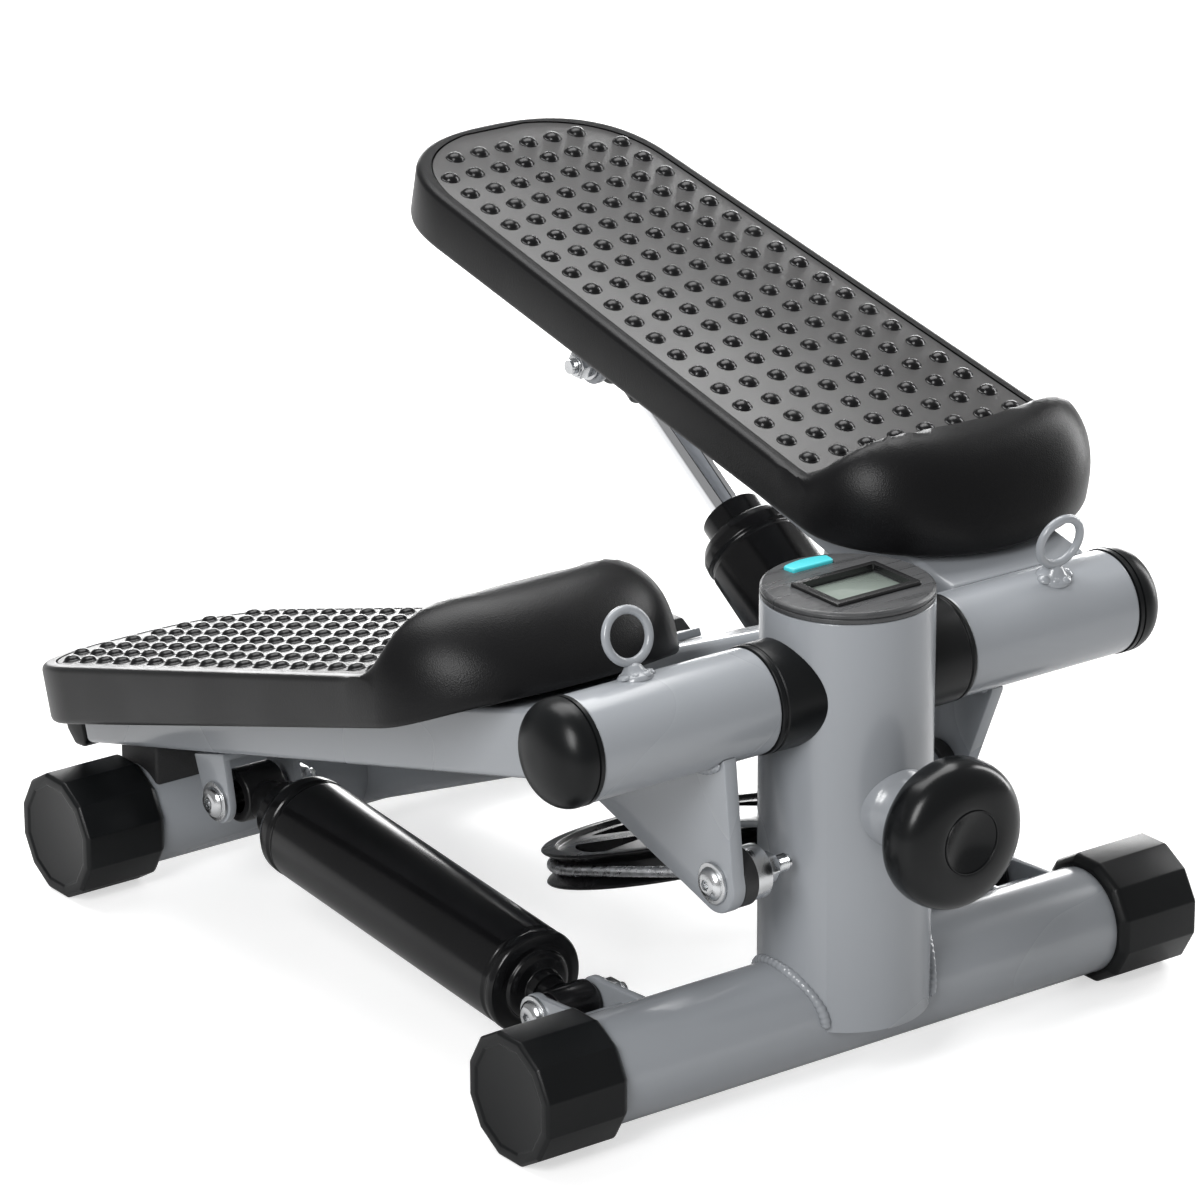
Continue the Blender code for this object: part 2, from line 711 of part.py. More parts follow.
def damper(tag, side, place):
    """Oil damper: body on the lower bolt, chrome rod with its eye on the upper bolt."""
    low, high, run = damper_axis(place)
    low = low + Vector((side * DAMPER_X, 0, 0))
    high = high + Vector((side * DAMPER_X, 0, 0))
    r = BODY_R
    open_at = 30 * MM
    profile = [
        (15 * MM, 0), (15 * MM, 9 * MM), (20 * MM, 9.5 * MM), (21 * MM, 14 * MM),
        (24 * MM, 17 * MM), (24.5 * MM, 20 * MM), (26 * MM, r - 0.5 * MM), (29 * MM, r),
        (BODY_END - 9 * MM, r), (BODY_END - 3 * MM, r - 2.5 * MM), (BODY_END - 0.5 * MM, r - 7 * MM),
        (BODY_END, r - 9.5 * MM), (BODY_END + 10 * MM, r - 9.5 * MM),
        (BODY_END + 11 * MM, r - 10.5 * MM), (BODY_END + 11 * MM, ROD_R + GAP),
        (open_at, ROD_R + GAP), (open_at, 0),
    ]
    body = lathe("damper_body_" + tag, profile, low, run, "black_gloss")
    ear = [low + Vector((d, 0, 0)) for d in (-13.5 * MM, 13.5 * MM)]
    join(body, rod("damper_barrel_" + tag, 10 * MM, *ear, None, 24, 1 * MM))
    join(body, rod("damper_neck_" + tag, 7.6 * MM, low, low + run * 22 * MM, None, 20))
    bore = [low + Vector((d, 0, 0)) for d in (-20 * MM, 20 * MM)]
    cut(body, rod("damper_bore_" + tag, BOLT_R + GAP, *bore, None, 20))
    stop = high - run * 11.5 * MM
    start = stop - run * ROD_LEN
    rod("damper_rod_" + tag, ROD_R, start, stop, "chrome", 24, 0.6 * MM)
    eye_r = 13 * MM
    sides = [high + Vector((d, 0, 0)) for d in (-11 * MM, 11 * MM)]
    eye = rod("rod_eye_" + tag, eye_r, *sides, "acetal", 28, 1 * MM)
    socket = [high - run * 24 * MM, high - run * 8.7 * MM]
    join(eye, rod("eye_socket_" + tag, 10.2 * MM, *socket, None, 24, 1 * MM))
    cut(eye, rod("eye_rod_cut_" + tag, ROD_R + GAP, high - run * 40 * MM, high - run * 11 * MM))
    hole = [high + Vector((d, 0, 0)) for d in (-20 * MM, 20 * MM)]
    cut(eye, rod("eye_hole_" + tag, 8.6 * MM, *hole, None, 24))


def stop_pad(tag, side):
    """Rubber block on the rear tube that the arm comes down on."""
    x0, x1 = sorted((side * 96 * MM, side * 138 * MM))
    pad = block(
        "stop_pad_" + tag, (x0, BASE_DEPTH - 16 * MM, 35 * MM),
        (x1, BASE_DEPTH + 16 * MM, 90 * MM), "rubber",
    )
    ends = [(x, BASE_DEPTH, TUBE_Z) for x in (x0 - 5 * MM, x1 + 5 * MM)]
    cut(pad, rod("pad_seat_" + tag, TUBE_R + GAP, *ends))
    lowest = pedal_place(ANGLE_L)
    slope = 12 * MM / (ARM_END - 16 * MM)
    line = [(v, -15.35 * MM + slope * (v - 16 * MM)) for v in (300 * MM, 450 * MM)]
    above = [*line, (450 * MM, 80 * MM), (300 * MM, 80 * MM)]
    cut(pad, prism("pad_top_cut_" + tag, above, side_plane(lowest, x0 - 5 * MM), 60 * MM))


def knob():
    """Round hand knob on a threaded spindle that draws the pulley's carrier."""
    depth = KNOB_BACK_Y - KNOB_FACE_Y
    r = KNOB_R
    profile = [
        (0, 0), (0, r * 0.62), (2 * MM, r * 0.86), (6 * MM, r * 0.97), (11 * MM, r),
        (depth - 11 * MM, r), (depth - 6 * MM, r * 0.96), (depth - 2.5 * MM, r * 0.84),
        (depth - 0.6 * MM, r * 0.66), (depth, r * 0.5), (depth - 2 * MM, r * 0.4),
        (depth - 4 * MM, r * 0.24), (depth - 4.6 * MM, 0),
    ]
    lathe("knob", profile, (0, KNOB_BACK_Y, KNOB_Z), (0, -1, 0), "black_gloss", 28)
    rod(
        "knob_spindle", 6 * MM, (0, KNOB_BACK_Y + GAP, KNOB_Z), (0, 56 * MM, KNOB_Z), "zinc", 20,
        0.8 * MM,
    )
    boss = lathe(
        "knob_boss",
        [
            (20 * MM, 6.3 * MM), (20 * MM, 19 * MM), (41 * MM, 17 * MM), (45 * MM, 14.5 * MM),
            (58 * MM, 13 * MM), (59 * MM, 12 * MM), (59 * MM, 6.3 * MM),
        ],
        (0, 0, KNOB_Z), (0, -1, 0), "grey_paint", 28,
    )
    cut(boss, post_space("boss_cut"))


def carrier():
    """Bent bracket that holds the pulley behind the post and takes the spindle."""
    y0 = POST_R + 1.5 * MM
    half = 15 * MM
    place = pulley_place()
    body = block(
        "pulley_carrier", (-half, y0, 70 * MM), (half, y0 + 4.5 * MM, 143 * MM), "grey_paint"
    )
    reach = -(PULLEY_Y - y0) / math.cos(PULLEY_TILT)
    for name, low in (("carrier_upper", 9.4 * MM), ("carrier_lower", -12.4 * MM)):
        lift = low * math.tan(PULLEY_TILT)
        start = reach + 2 * MM - lift
        join(body, block(name, (-half, start, low), (half, 14 * MM, low + 3 * MM), None, place))
    spindle = [(0, y, KNOB_Z) for y in (35 * MM, 60 * MM)]
    cut(body, rod("carrier_spindle", 6.3 * MM, *spindle, None, 20))
    pin = [place @ Vector((0, 0, z)) for z in (-20 * MM, 20 * MM)]
    cut(body, rod("carrier_pin_cut", 5.3 * MM, *pin, None, 20))
    lathe(
        "pulley_pin",
        [
            (-15 * MM, 0), (-15 * MM, 5 * MM), (12.7 * MM, 5 * MM), (12.7 * MM, 8 * MM),
            (15.5 * MM, 8 * MM), (17 * MM, 6 * MM), (17 * MM, 0),
        ],
        place @ Vector((0, 0, 0)), place.to_3x3() @ Vector((0, 0, 1)), "zinc", 20,
    )


def pulley():
    """Grooved wheel with five openings between its spokes."""
    r = PULLEY_R
    groove = CABLE_X - CABLE_R - 0.8 * MM
    half = 8.2 * MM
    place = pulley_place()
    profile = [
        (-half, 5.4 * MM), (-half, r - 0.8 * MM), (-half + 0.8 * MM, r),
        (-half + 1.6 * MM, r - 0.8 * MM), (-CABLE_R - 0.3 * MM, groove),
        (CABLE_R + 0.3 * MM, groove), (half - 1.6 * MM, r - 0.8 * MM),
        (half - 0.8 * MM, r), (half, r - 0.8 * MM), (half, 5.4 * MM),
    ]
    centre = place @ Vector((0, 0, 0))
    wheel = lathe("pulley", profile, centre, place.to_3x3() @ Vector((0, 0, 1)), "acetal", 32)
    for k in range(5):
        mid = 360 / 5 * k + 18
        outer = arc(0, 0, 52 * MM, mid - 24, mid + 24, 5)
        inner = arc(0, 0, 24 * MM, mid + 14, mid - 14, 2)
        under = place @ Matrix.Translation((0, 0, -20 * MM))
        cut(wheel, prism("pulley_window_" + str(k), outer + inner, under, 40 * MM))


def cable_route(left, right):
    """Centre line of the cable: left lever, round the pulley's back, right lever."""
    place = pulley_place()
    points = []
    start = cable_tangent(-1)
    eye = left @ Vector((-CABLE_X, EYE_V, EYE_W))
    points.append(eye + (start - eye).normalized() * 18.6 * MM)
    points.append(start)
    for k in range(1, 18):
        a = math.pi - math.pi * k / 18
        points.append(place @ Vector((CABLE_X * math.cos(a), CABLE_X * math.sin(a), 0)))
    stop = cable_tangent(1)
    points.append(stop)
    eye = right @ Vector((CABLE_X, EYE_V, EYE_W))
    points.append(eye + (stop - eye).normalized() * 18.6 * MM)
    return points


def cable(left, right):
    """Round section carried along the route."""
    points = cable_route(left, right)
    across = 10
    verts = []
    faces = []
    for i, point in enumerate(points):
        ahead = points[min(i + 1, len(points) - 1)]
        behind = points[max(i - 1, 0)]
        run = (ahead - behind).normalized()
        side = run.cross(Vector((0, 0, 1))).normalized()
        up = side.cross(run)
        for k in range(across):
            a = 2 * math.pi * k / across
            verts.append(point + (side * math.cos(a) + up * math.sin(a)) * CABLE_R)
    for i in range(len(points) - 1):
        for k in range(across):
            m = (k + 1) % across
            a, b = i * across, (i + 1) * across
            faces.append((a + k, a + m, b + m, b + k))
    faces.append(list(range(across)))
    faces.append(list(range(len(verts) - across, len(verts))))
    add("cable", verts, faces, "steel_cable", smooth=True)


def display():
    """Step counter on the post: stepped bezel, screen and one button."""
    base = POST_TOP_Z + GAP
    r = POST_R
    bezel = lathe(
        "display_bezel",
        [
            (-12 * MM, 0), (-12 * MM, r - POST_WALL - GAP), (0, r - POST_WALL - GAP),
            (0, r), (1.8 * MM, r), (1.8 * MM, r - 0.8 * MM), (2.4 * MM, r - 0.8 * MM),
            (2.4 * MM, r), (BEZEL_H - 0.8 * MM, r), (BEZEL_H, r - 1 * MM), (BEZEL_H, 0),
        ],
        (0, 0, base), (0, 0, 1), "bezel", 40,
    )
    face = base + BEZEL_H
    window = (-20 * MM, -18.5 * MM, face - 4 * MM), (22 * MM, 9.5 * MM, face + 5 * MM)
    cut(bezel, block("window_cut", *window))
    slot = button_outline(GAP)
    down = Matrix.Translation((0, 0, face - 5 * MM))
    cut(bezel, prism("button_cut", slot, down, 10 * MM))
    block(
        "lcd_screen", (-19.6 * MM, -18.1 * MM, face - 3.7 * MM), (21.6 * MM, 9.1 * MM, face - 2 * MM),
        "lcd",
    )
    seat = Matrix.Translation((0, 0, face - 3.4 * MM))
    prism("mode_button", button_outline(0), seat, 5 * MM, "cyan")


def button_outline(grow):
    """Arc-backed button on the user's side of the display."""
    back = arc(0, 0, 33 * MM + grow, 68, 112, 6)
    return [*back, (-11.5 * MM - grow, 24 * MM - grow), (11.5 * MM + grow, 24 * MM - grow)]


def side_parts(tag, side, angle):
    place = pedal_place(angle)
    collar(tag, side)
    pivot_tube(tag, side)
    dome_cap(tag, side)
    eye_ring(tag, side, place)
    lever(tag, side, place)
    lever_bolt(tag, side, place)
    pedal_arm(tag, side, place)
    footplate(tag, side, place)
    upper_bracket(tag, side, place)
    lower_clevis(tag, side)
    damper(tag, side, place)
    stop_pad(tag, side)
    return place


def hang(name, where, pieces):
    """An empty on a joint's axis, and the pieces that it carries."""
    pivot = bpy.data.objects.new(name, None)
    pivot.location = where
    bpy.context.scene.collection.objects.link(pivot)
    bpy.context.view_layer.update()
    for piece in pieces:
        obj = bpy.data.objects[piece]
        obj.parent = pivot
        obj.matrix_parent_inverse = pivot.matrix_world.inverted()


def pedal_pieces(tag):
    names = (
        "pivot_tube", "pivot_bush", "end_dome", "eye_ring", "lever", "lever_bolt",
        "cable_terminal", "pedal_arm", "arm_plug", "footplate", "tread_mat",
        "upper_bracket", "upper_bolt",
    )
    return [name + "_" + tag for name in names]


def hang_moving_pieces():
    for tag, side in (("L", -1), ("R", 1)):
        hang("pedal_axis_" + tag, (side * RING_X, 0, AXLE_Z), pedal_pieces(tag))
        low = (side * DAMPER_X, *LOW_PIVOT)
        moving = ["damper_body_" + tag, "damper_rod_" + tag, "rod_eye_" + tag]
        hang("damper_axis_" + tag, low, moving)
    hang("pulley_axis", (0, PULLEY_Y, PULLEY_Z), ["pulley"])
    hang("knob_axis", (0, 0, KNOB_Z), ["knob", "knob_spindle"])
    hang("button_axis", (0, 0, POST_TOP_Z), ["mode_button"])


def main():
    clear_scene()
    base_frame()
    post()
    main_beam()
    axle()
    left = side_parts("L", -1, ANGLE_L)
    right = side_parts("R", 1, ANGLE_R)
    knob()
    carrier()
    pulley()
    cable(left, right)
    display()
    hang_moving_pieces()


main()
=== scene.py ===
"""Twin-pedal mini stepper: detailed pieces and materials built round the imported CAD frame."""

from math import cos, pi, radians, sin, sqrt, tan

import bmesh
import bpy
from mathutils import Matrix, Vector


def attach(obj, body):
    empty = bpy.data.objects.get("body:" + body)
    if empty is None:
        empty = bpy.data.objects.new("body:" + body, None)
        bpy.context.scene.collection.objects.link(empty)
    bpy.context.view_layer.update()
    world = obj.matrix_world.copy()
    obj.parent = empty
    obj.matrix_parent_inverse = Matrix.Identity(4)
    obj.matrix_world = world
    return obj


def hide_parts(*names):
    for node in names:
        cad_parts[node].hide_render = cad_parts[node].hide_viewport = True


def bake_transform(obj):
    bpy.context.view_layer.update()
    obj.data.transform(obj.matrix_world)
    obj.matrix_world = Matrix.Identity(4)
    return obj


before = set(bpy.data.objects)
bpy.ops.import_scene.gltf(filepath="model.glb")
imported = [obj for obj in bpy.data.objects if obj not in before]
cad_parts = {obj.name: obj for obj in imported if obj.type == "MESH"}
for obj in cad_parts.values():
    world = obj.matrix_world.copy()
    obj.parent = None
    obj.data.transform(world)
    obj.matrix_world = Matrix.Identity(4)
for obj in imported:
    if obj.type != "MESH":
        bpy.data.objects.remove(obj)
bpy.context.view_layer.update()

MM = 0.001
GAP = 0.3 * MM

TUBE_R = 25 * MM
CAP_R = 30.8 * MM
TUBE_Z = CAP_R * cos(radians(15))
BASE_DEPTH = 370 * MM
CAP_OUT_X = 186 * MM
CAP_LEN = 45 * MM

POST_R = 39 * MM
POST_FOOT_Z = 28 * MM
POST_TOP_Z = 222 * MM
AXLE_Z = 184.5 * MM
AXLE_HOLE_R = 10.3 * MM
SPINDLE_HOLE_R = 6.3 * MM
BEAM_W = 44 * MM
BEAM_H = 47 * MM
BEAM_FRONT_Z = 172 * MM

PIVOT_R = 24 * MM
SEAM_IN_X = 55 * MM
SEAM_OUT_X = 150.6 * MM
DOME_X = 170 * MM

ANGLES = {"L": radians(-17), "R": radians(12.7)}
SIDES = {"L": -1, "R": 1}
TREAD_W = 40.5 * MM
HEEL_V = 440 * MM
ARM_END = 418 * MM
RECESS = 2.5 * MM
TOE_V = 27 * MM
CROWN_W = 68 * MM
BOUND_V = 88 * MM
TOE_X = (37 * MM, 191 * MM)
HEEL_X = (39.5 * MM, 174 * MM)
HEEL_LEN = 62 * MM
TOE_LEN = 61 * MM
ARM_X = (70 * MM, 149 * MM)
RING_X = 113 * MM
RING_V = -1.5 * MM

LEVER_X = 80 * MM
LEVER_T = 7 * MM
EYE_V = 9.4 * MM
EYE_W = -75 * MM
CABLE_X = 64 * MM
CABLE_R = 2.4 * MM
PULLEY_Y = 115 * MM
PULLEY_Z = 67 * MM
PULLEY_R = 68 * MM
PULLEY_TILT = radians(18)

DAMPER_X = 118 * MM
LOW_PIVOT = (48 * MM, 38.6 * MM)
TOP_PIVOT_VW = (323 * MM, -32 * MM)
BODY_R = 25 * MM
BODY_END = 217 * MM
ROD_R = 7.5 * MM
ROD_LEN = 206 * MM
BOLT_R = 4 * MM

KNOB_Z = 133 * MM
KNOB_R = 34.5 * MM
KNOB_FACE_Y = -88 * MM
KNOB_BACK_Y = -60 * MM
BEZEL_H = 5 * MM

AX = Vector((1, 0, 0))
UP = Vector((0, 0, 1))


# Materials


def fill(node, **values):
    """Sets a node's inputs. An underscore stands for a space in an input's name."""
    for name, value in values.items():
        node.inputs[name.replace("_", " ")].default_value = value


def link_noise(tree, vector, scale, detail, rough=0.5):
    node = tree.nodes.new("ShaderNodeTexNoise")
    fill(node, Scale=scale, Detail=detail, Roughness=rough)
    tree.links.new(vector, node.inputs["Vector"])
    return node.outputs["Fac"]


def spread(tree, value, low, high):
    """Maps a noise value on to the range from low to high."""
    node = tree.nodes.new("ShaderNodeMapRange")
    node.interpolation_type = "SMOOTHERSTEP"
    fill(node, From_Min=0.2, From_Max=0.8, To_Min=low, To_Max=high)
    tree.links.new(value, node.inputs["Value"])
    return node.outputs["Result"]


def mix(tree, factor, first, second):
    node = tree.nodes.new("ShaderNodeMix")
    node.data_type = "RGBA"
    tree.links.new(factor, node.inputs["Factor"])
    fill(node, A=(*first, 1), B=(*second, 1))
    return node.outputs["Result"]


def surface(
    name, colour, rough, grain, bump, tint, swing=0.05, metal=0.0, coat=0.0,
    stretch=(1, 1, 1), specular=0.5, broad=18.0, pattern="noise",
):
    """A Principled material with colour drift, uneven roughness and a fine surface grain."""
    made = bpy.data.materials.new(name)
    made.use_nodes = True
    tree = made.node_tree
    shader = tree.nodes["Principled BSDF"]
    fill(shader, Metallic=metal, Specular_IOR_Level=specular, Coat_Weight=coat, Coat_Roughness=0.12)
    coords = tree.nodes.new("ShaderNodeTexCoord")
    place = tree.nodes.new("ShaderNodeMapping")
    fill(place, Scale=stretch)
    tree.links.new(coords.outputs["Object"], place.inputs["Vector"])
    where = place.outputs["Vector"]
    drift = link_noise(tree, where, broad, 1)
    darker = [c * (1 - tint) for c in colour]
    lighter = [min(c * (1 + tint), 1) for c in colour]
    tone = mix(tree, spread(tree, drift, 0, 1), darker, lighter)
    tree.links.new(tone, shader.inputs["Base Color"])
    cloud = link_noise(tree, where, broad * 1.7, 1, 0.4)
    worn = spread(tree, cloud, max(rough - swing, 0.02), rough + swing)
    tree.links.new(worn, shader.inputs["Roughness"])
    if pattern == "cells":
        fine_node = tree.nodes.new("ShaderNodeTexVoronoi")
        fill(fine_node, Scale=grain)
        tree.links.new(where, fine_node.inputs["Vector"])
        fine = fine_node.outputs["Distance"]
    else:
        fine = link_noise(tree, where, grain, 3)
    relief = tree.nodes.new("ShaderNodeBump")
    fill(relief, Strength=bump, Distance=0.0004)
    tree.links.new(fine, relief.inputs["Height"])
    tree.links.new(relief.outputs["Normal"], shader.inputs["Normal"])
    return made


# Colour, roughness, grain, bump, tint, swing, and the settings that differ from the usual ones
FINISHES = {
    "grey_paint": ((0.275, 0.29, 0.31), 0.27, 700, 0.03, 0.015, 0.01, dict(coat=0.3, broad=5)),
    "weld_paint": ((0.27, 0.285, 0.305), 0.24, 900, 0.2, 0.1, 0.05, dict(coat=0.4)),
    "black_cap": ((0.0045, 0.005, 0.0055), 0.32, 2600, 0.08, 0.15, 0.04, dict(specular=0.22)),
    "damper_black": ((0.005, 0.005, 0.0055), 0.2, 350, 0.02, 0.2, 0.03, dict(specular=0.3)),
    "knob_black": ((0.005, 0.0055, 0.006), 0.24, 300, 0.02, 0.2, 0.03, dict(specular=0.25)),
    "pedal_black": (
        (0.0045, 0.0045, 0.005), 0.36, 1500, 0.16, 0.12, 0.03, dict(pattern="cells", specular=0.2)
    ),
    "tread_grey": ((0.05, 0.049, 0.049), 0.34, 2200, 0.2, 0.08, 0.03, dict(pattern="cells")),
    "stud_black": ((0.004, 0.004, 0.0045), 0.26, 1500, 0.08, 0.2, 0.05, dict(specular=0.3)),
    "chrome": ((0.82, 0.83, 0.85), 0.07, 200, 0.01, 0.03, 0.02, dict(metal=1, stretch=(1, 0.2, 0.2))),
    "zinc": ((0.62, 0.63, 0.64), 0.26, 1800, 0.12, 0.12, 0.09, dict(metal=1, broad=60)),
    "rubber_stop": ((0.016, 0.016, 0.017), 0.62, 1800, 0.4, 0.2, 0.05, dict(pattern="cells")),
    "wire_rope": ((0.66, 0.67, 0.69), 0.28, 2500, 0.3, 0.25, 0.1, dict(metal=1, broad=120)),
    "display_body": ((0.045, 0.046, 0.048), 0.33, 900, 0.15, 0.12, 0.08, dict(stretch=(1, 14, 1))),
    "display_frame": ((0.008, 0.008, 0.0085), 0.25, 1500, 0.08, 0.1, 0.05, {}),
    "display_lens": ((0.24, 0.28, 0.25), 0.1, 600, 0.01, 0.05, 0.05, dict(coat=0.8, broad=30)),
    "button_cyan": ((0.06, 0.56, 0.62), 0.35, 1500, 0.1, 0.05, 0.05, {}),
    "dark_nylon": ((0.006, 0.006, 0.0065), 0.3, 1500, 0.12, 0.15, 0.06, dict(specular=0.35)),
    "bush_black": ((0.014, 0.014, 0.015), 0.5, 1600, 0.2, 0.15, 0.05, {}),
}
LOOKS = {name: surface(name, *given, **rest) for name, (*given, rest) in FINISHES.items()}


# Mesh helpers


def shade(obj, angle=35):
    obj.data.shade_smooth()
    obj.data.set_sharp_from_angle(angle=radians(angle))


def in_scene(name, data):
    obj = bpy.data.objects.new(name, data)
    bpy.context.scene.collection.objects.link(obj)
    return obj


def finished(name, bm, look, angle):
    """Makes an object of the mesh, with its faces pointing out."""
    bmesh.ops.recalc_face_normals(bm, faces=bm.faces)
    mesh = bpy.data.meshes.new(name)
    bm.to_mesh(mesh)
    bm.free()
    obj = in_scene(name, mesh)
    if look:
        mesh.materials.append(LOOKS[look])
    shade(obj, angle)
    return obj


def mesh_object(name, verts, faces, look, angle=35):
    bm = bmesh.new()
    made = [bm.verts.new(v) for v in verts]
    for face in faces:
        bm.faces.new([made[i] for i in face])
    bmesh.ops.remove_doubles(bm, verts=bm.verts, dist=1e-6)
    return finished(name, bm, look, angle)


def bake(obj, angle=35):
    """Applies the modifiers for good."""
    bpy.context.view_layer.update()
    graph = bpy.context.evaluated_depsgraph_get()
    mesh = bpy.data.meshes.new_from_object(obj.evaluated_get(graph), depsgraph=graph)
    obj.modifiers.clear()
    obj.data = mesh
    shade(obj, angle)
    return obj


def combine(target, others, how, angle=35):
    for other in others:
        made = target.modifiers.new("solid", "BOOLEAN")
        made.object = other
        made.operation = how
        made.solver = "EXACT"
    bake(target, angle)
    for other in others:
        bpy.data.objects.remove(other, do_unlink=True)
    return target


def cut(target, *others, angle=35):
    return combine(target, others, "DIFFERENCE", angle)


def merge(target, *others):
    """Puts the other objects' meshes into the target's, with their materials."""
    bm = bmesh.new()
    slots = list(target.data.materials)
    for obj in (target, *others):
        start = len(bm.faces)
        bm.from_mesh(obj.data)
        bm.faces.ensure_lookup_table()
        own = list(obj.data.materials)
        for material in own:
            if material not in slots:
                slots.append(material)
        for face in bm.faces[start:]:
            face.material_index = slots.index(own[face.material_index]) if own else 0
    target.data.materials.clear()
    bm.to_mesh(target.data)
    bm.free()
    for material in slots:
        target.data.materials.append(material)
    for obj in others:
        bpy.data.objects.remove(obj, do_unlink=True)
    return target


def bevel(obj, width, segments=3, limit=30, angle=35):
    made = obj.modifiers.new("edge", "BEVEL")
    made.width = width
    made.segments = segments
    made.limit_method = "ANGLE"
    made.angle_limit = radians(limit)
    made.use_clamp_overlap = True
    return bake(obj, angle)


def axis_frame(origin, axis):
    z = Vector(axis).normalized()
    x = UP.cross(z)
    if x.length < 1e-6:
        x = AX.copy()
    x.normalize()
    y = z.cross(x)
    return Matrix.Translation(origin) @ Matrix((x, y, z)).transposed().to_4x4()


def rounded(outline, radius, steps=3, closed=True):
    """Rounds the corners of an outline of pairs."""
    made = []
    count = len(outline)
    for i in range(count):
        p = Vector(outline[i])
        if not closed and i in (0, count - 1):
            made.append(tuple(p))
            continue
        a = Vector(outline[i - 1]) - p
        b = Vector(outline[(i + 1) % count]) - p
        if a.length < 1e-9 or b.length < 1e-9 or a.angle(b) > radians(172):
            made.append(tuple(p))
            continue
        start = p + a.normalized() * min(radius, a.length * 0.45)
        stop = p + b.normalized() * min(radius, b.length * 0.45)
        for k in range(steps + 1):
            t = k / steps
            q = start * (1 - t) ** 2 + p * 2 * t * (1 - t) + stop * t**2
            made.append(tuple(q))
    return made


def lathe(name, profile, origin, axis, look, seg=72, phase=0.0, soft=0.5 * MM, angle=35):
    """Turns an open (along, radius) outline, which starts and ends on the axis or is closed."""
    closed = profile[0][1] > 1e-7
    if soft:
        profile = rounded(profile, soft, 3, closed)
    place = axis_frame(origin, axis)
    verts = []
    rings = []
    for along, radius in profile:
        if radius < 1e-7:
            rings.append([len(verts)] * seg)
            verts.append(place @ Vector((0, 0, along)))
            continue
        rings.append(list(range(len(verts), len(verts) + seg)))
        for k in range(seg):
            a = phase + 2 * pi * k / seg
            verts.append(place @ Vector((radius * cos(a), radius * sin(a), along)))
    faces = []
    last = len(profile) if closed else len(profile) - 1
    for i in range(last):
        here = rings[i]
        there = rings[(i + 1) % len(profile)]
        for k in range(seg):
            m = (k + 1) % seg
            face = list(dict.fromkeys([here[k], here[m], there[m], there[k]]))
            if len(face) > 2:
                faces.append(face)
    return mesh_object(name, verts, faces, look, angle)


def rod(name, radius, start, end, look=None, seg=48, soft=0.0):
    a = Vector(start)
    b = Vector(end)
    length = (b - a).length
    profile = [(0, 0), (0, radius), (length, radius), (length, 0)]
    return lathe(name, profile, a, b - a, look, seg, 0.0, soft)


def tube(name, radius, bore, start, end, look, seg=96, soft=0.6 * MM):
    a = Vector(start)
    b = Vector(end)
    length = (b - a).length
    profile = [(0, bore), (0, radius), (length, radius), (length, bore)]
    return lathe(name, profile, a, b - a, look, seg, 0.0, soft)


def prism(name, outline, place, depth, look=None):
    count = len(outline)
    verts = [place @ Vector((u, v, 0)) for u, v in outline]
    verts += [place @ Vector((u, v, depth)) for u, v in outline]
    faces = [list(range(count))[::-1], list(range(count, 2 * count))]
    for k in range(count):
        m = (k + 1) % count
        faces.append([k, m, m + count, k + count])
    return mesh_object(name, verts, faces, look)


def block(name, low, high, look=None, place=None):
    place = place or Matrix()
    verts = [
        place @ Vector((x, y, z))
        for x in (low[0], high[0])
        for y in (low[1], high[1])
        for z in (low[2], high[2])
    ]
    faces = [(0, 1, 3, 2), (4, 6, 7, 5), (0, 4, 5, 1), (2, 3, 7, 6), (0, 2, 6, 4), (1, 5, 7, 3)]
    return mesh_object(name, verts, faces, look)


def rectangle(x0, y0, x1, y1):
    return [(x0, y0), (x1, y0), (x1, y1), (x0, y1)]


def mm(*pairs):
    """Pairs of millimetres as pairs of metres."""
    return [(a * MM, b * MM) for a, b in pairs]


def raised(height):
    return Matrix.Translation((0, 0, height))


def sideways(centre, half):
    """The two ends of a line across the machine."""
    return centre - AX * half, centre + AX * half


def post_space():
    """A cutter that clears the post."""
    return rod("post_space", POST_R + GAP, (0, 0, 60 * MM), (0, 0, 300 * MM), None, 128)


def tube_space(x0, x1, y):
    """A cutter that clears the cross tube at y."""
    return rod("tube_space", TUBE_R + GAP, (x0, y, TUBE_Z), (x1, y, TUBE_Z), None, 96)


def arc(cx, cy, radius, start, end, steps):
    points = []
    for k in range(steps + 1):
        a = radians(start + (end - start) * k / steps)
        points.append((cx + radius * cos(a), cy + radius * sin(a)))
    return points


def sweep(name, points, radii, look, across=10, closed=False):
    """A round section carried along points, with one radius for each point."""
    count = len(points)
    verts = []
    faces = []
    up = UP.copy()
    for i, point in enumerate(points):
        ahead = points[(i + 1) % count] if closed else points[min(i + 1, count - 1)]
        behind = points[i - 1] if closed else points[max(i - 1, 0)]
        run = (ahead - behind).normalized()
        if abs(run.dot(up)) > 0.98:
            up = AX.copy()
        side = run.cross(up).normalized()
        up = side.cross(run).normalized()
        for k in range(across):
            a = 2 * pi * k / across
            verts.append(point + (side * cos(a) + up * sin(a)) * radii[i])
    for i in range(count if closed else count - 1):
        for k in range(across):
            m = (k + 1) % across
            a, b = i * across, ((i + 1) % count) * across
            faces.append((a + k, a + m, b + m, b + k))
    if not closed:
        faces.append(list(range(across)))
        faces.append(list(range(len(verts) - across, len(verts))))
    return mesh_object(name, verts, faces, look, 60)


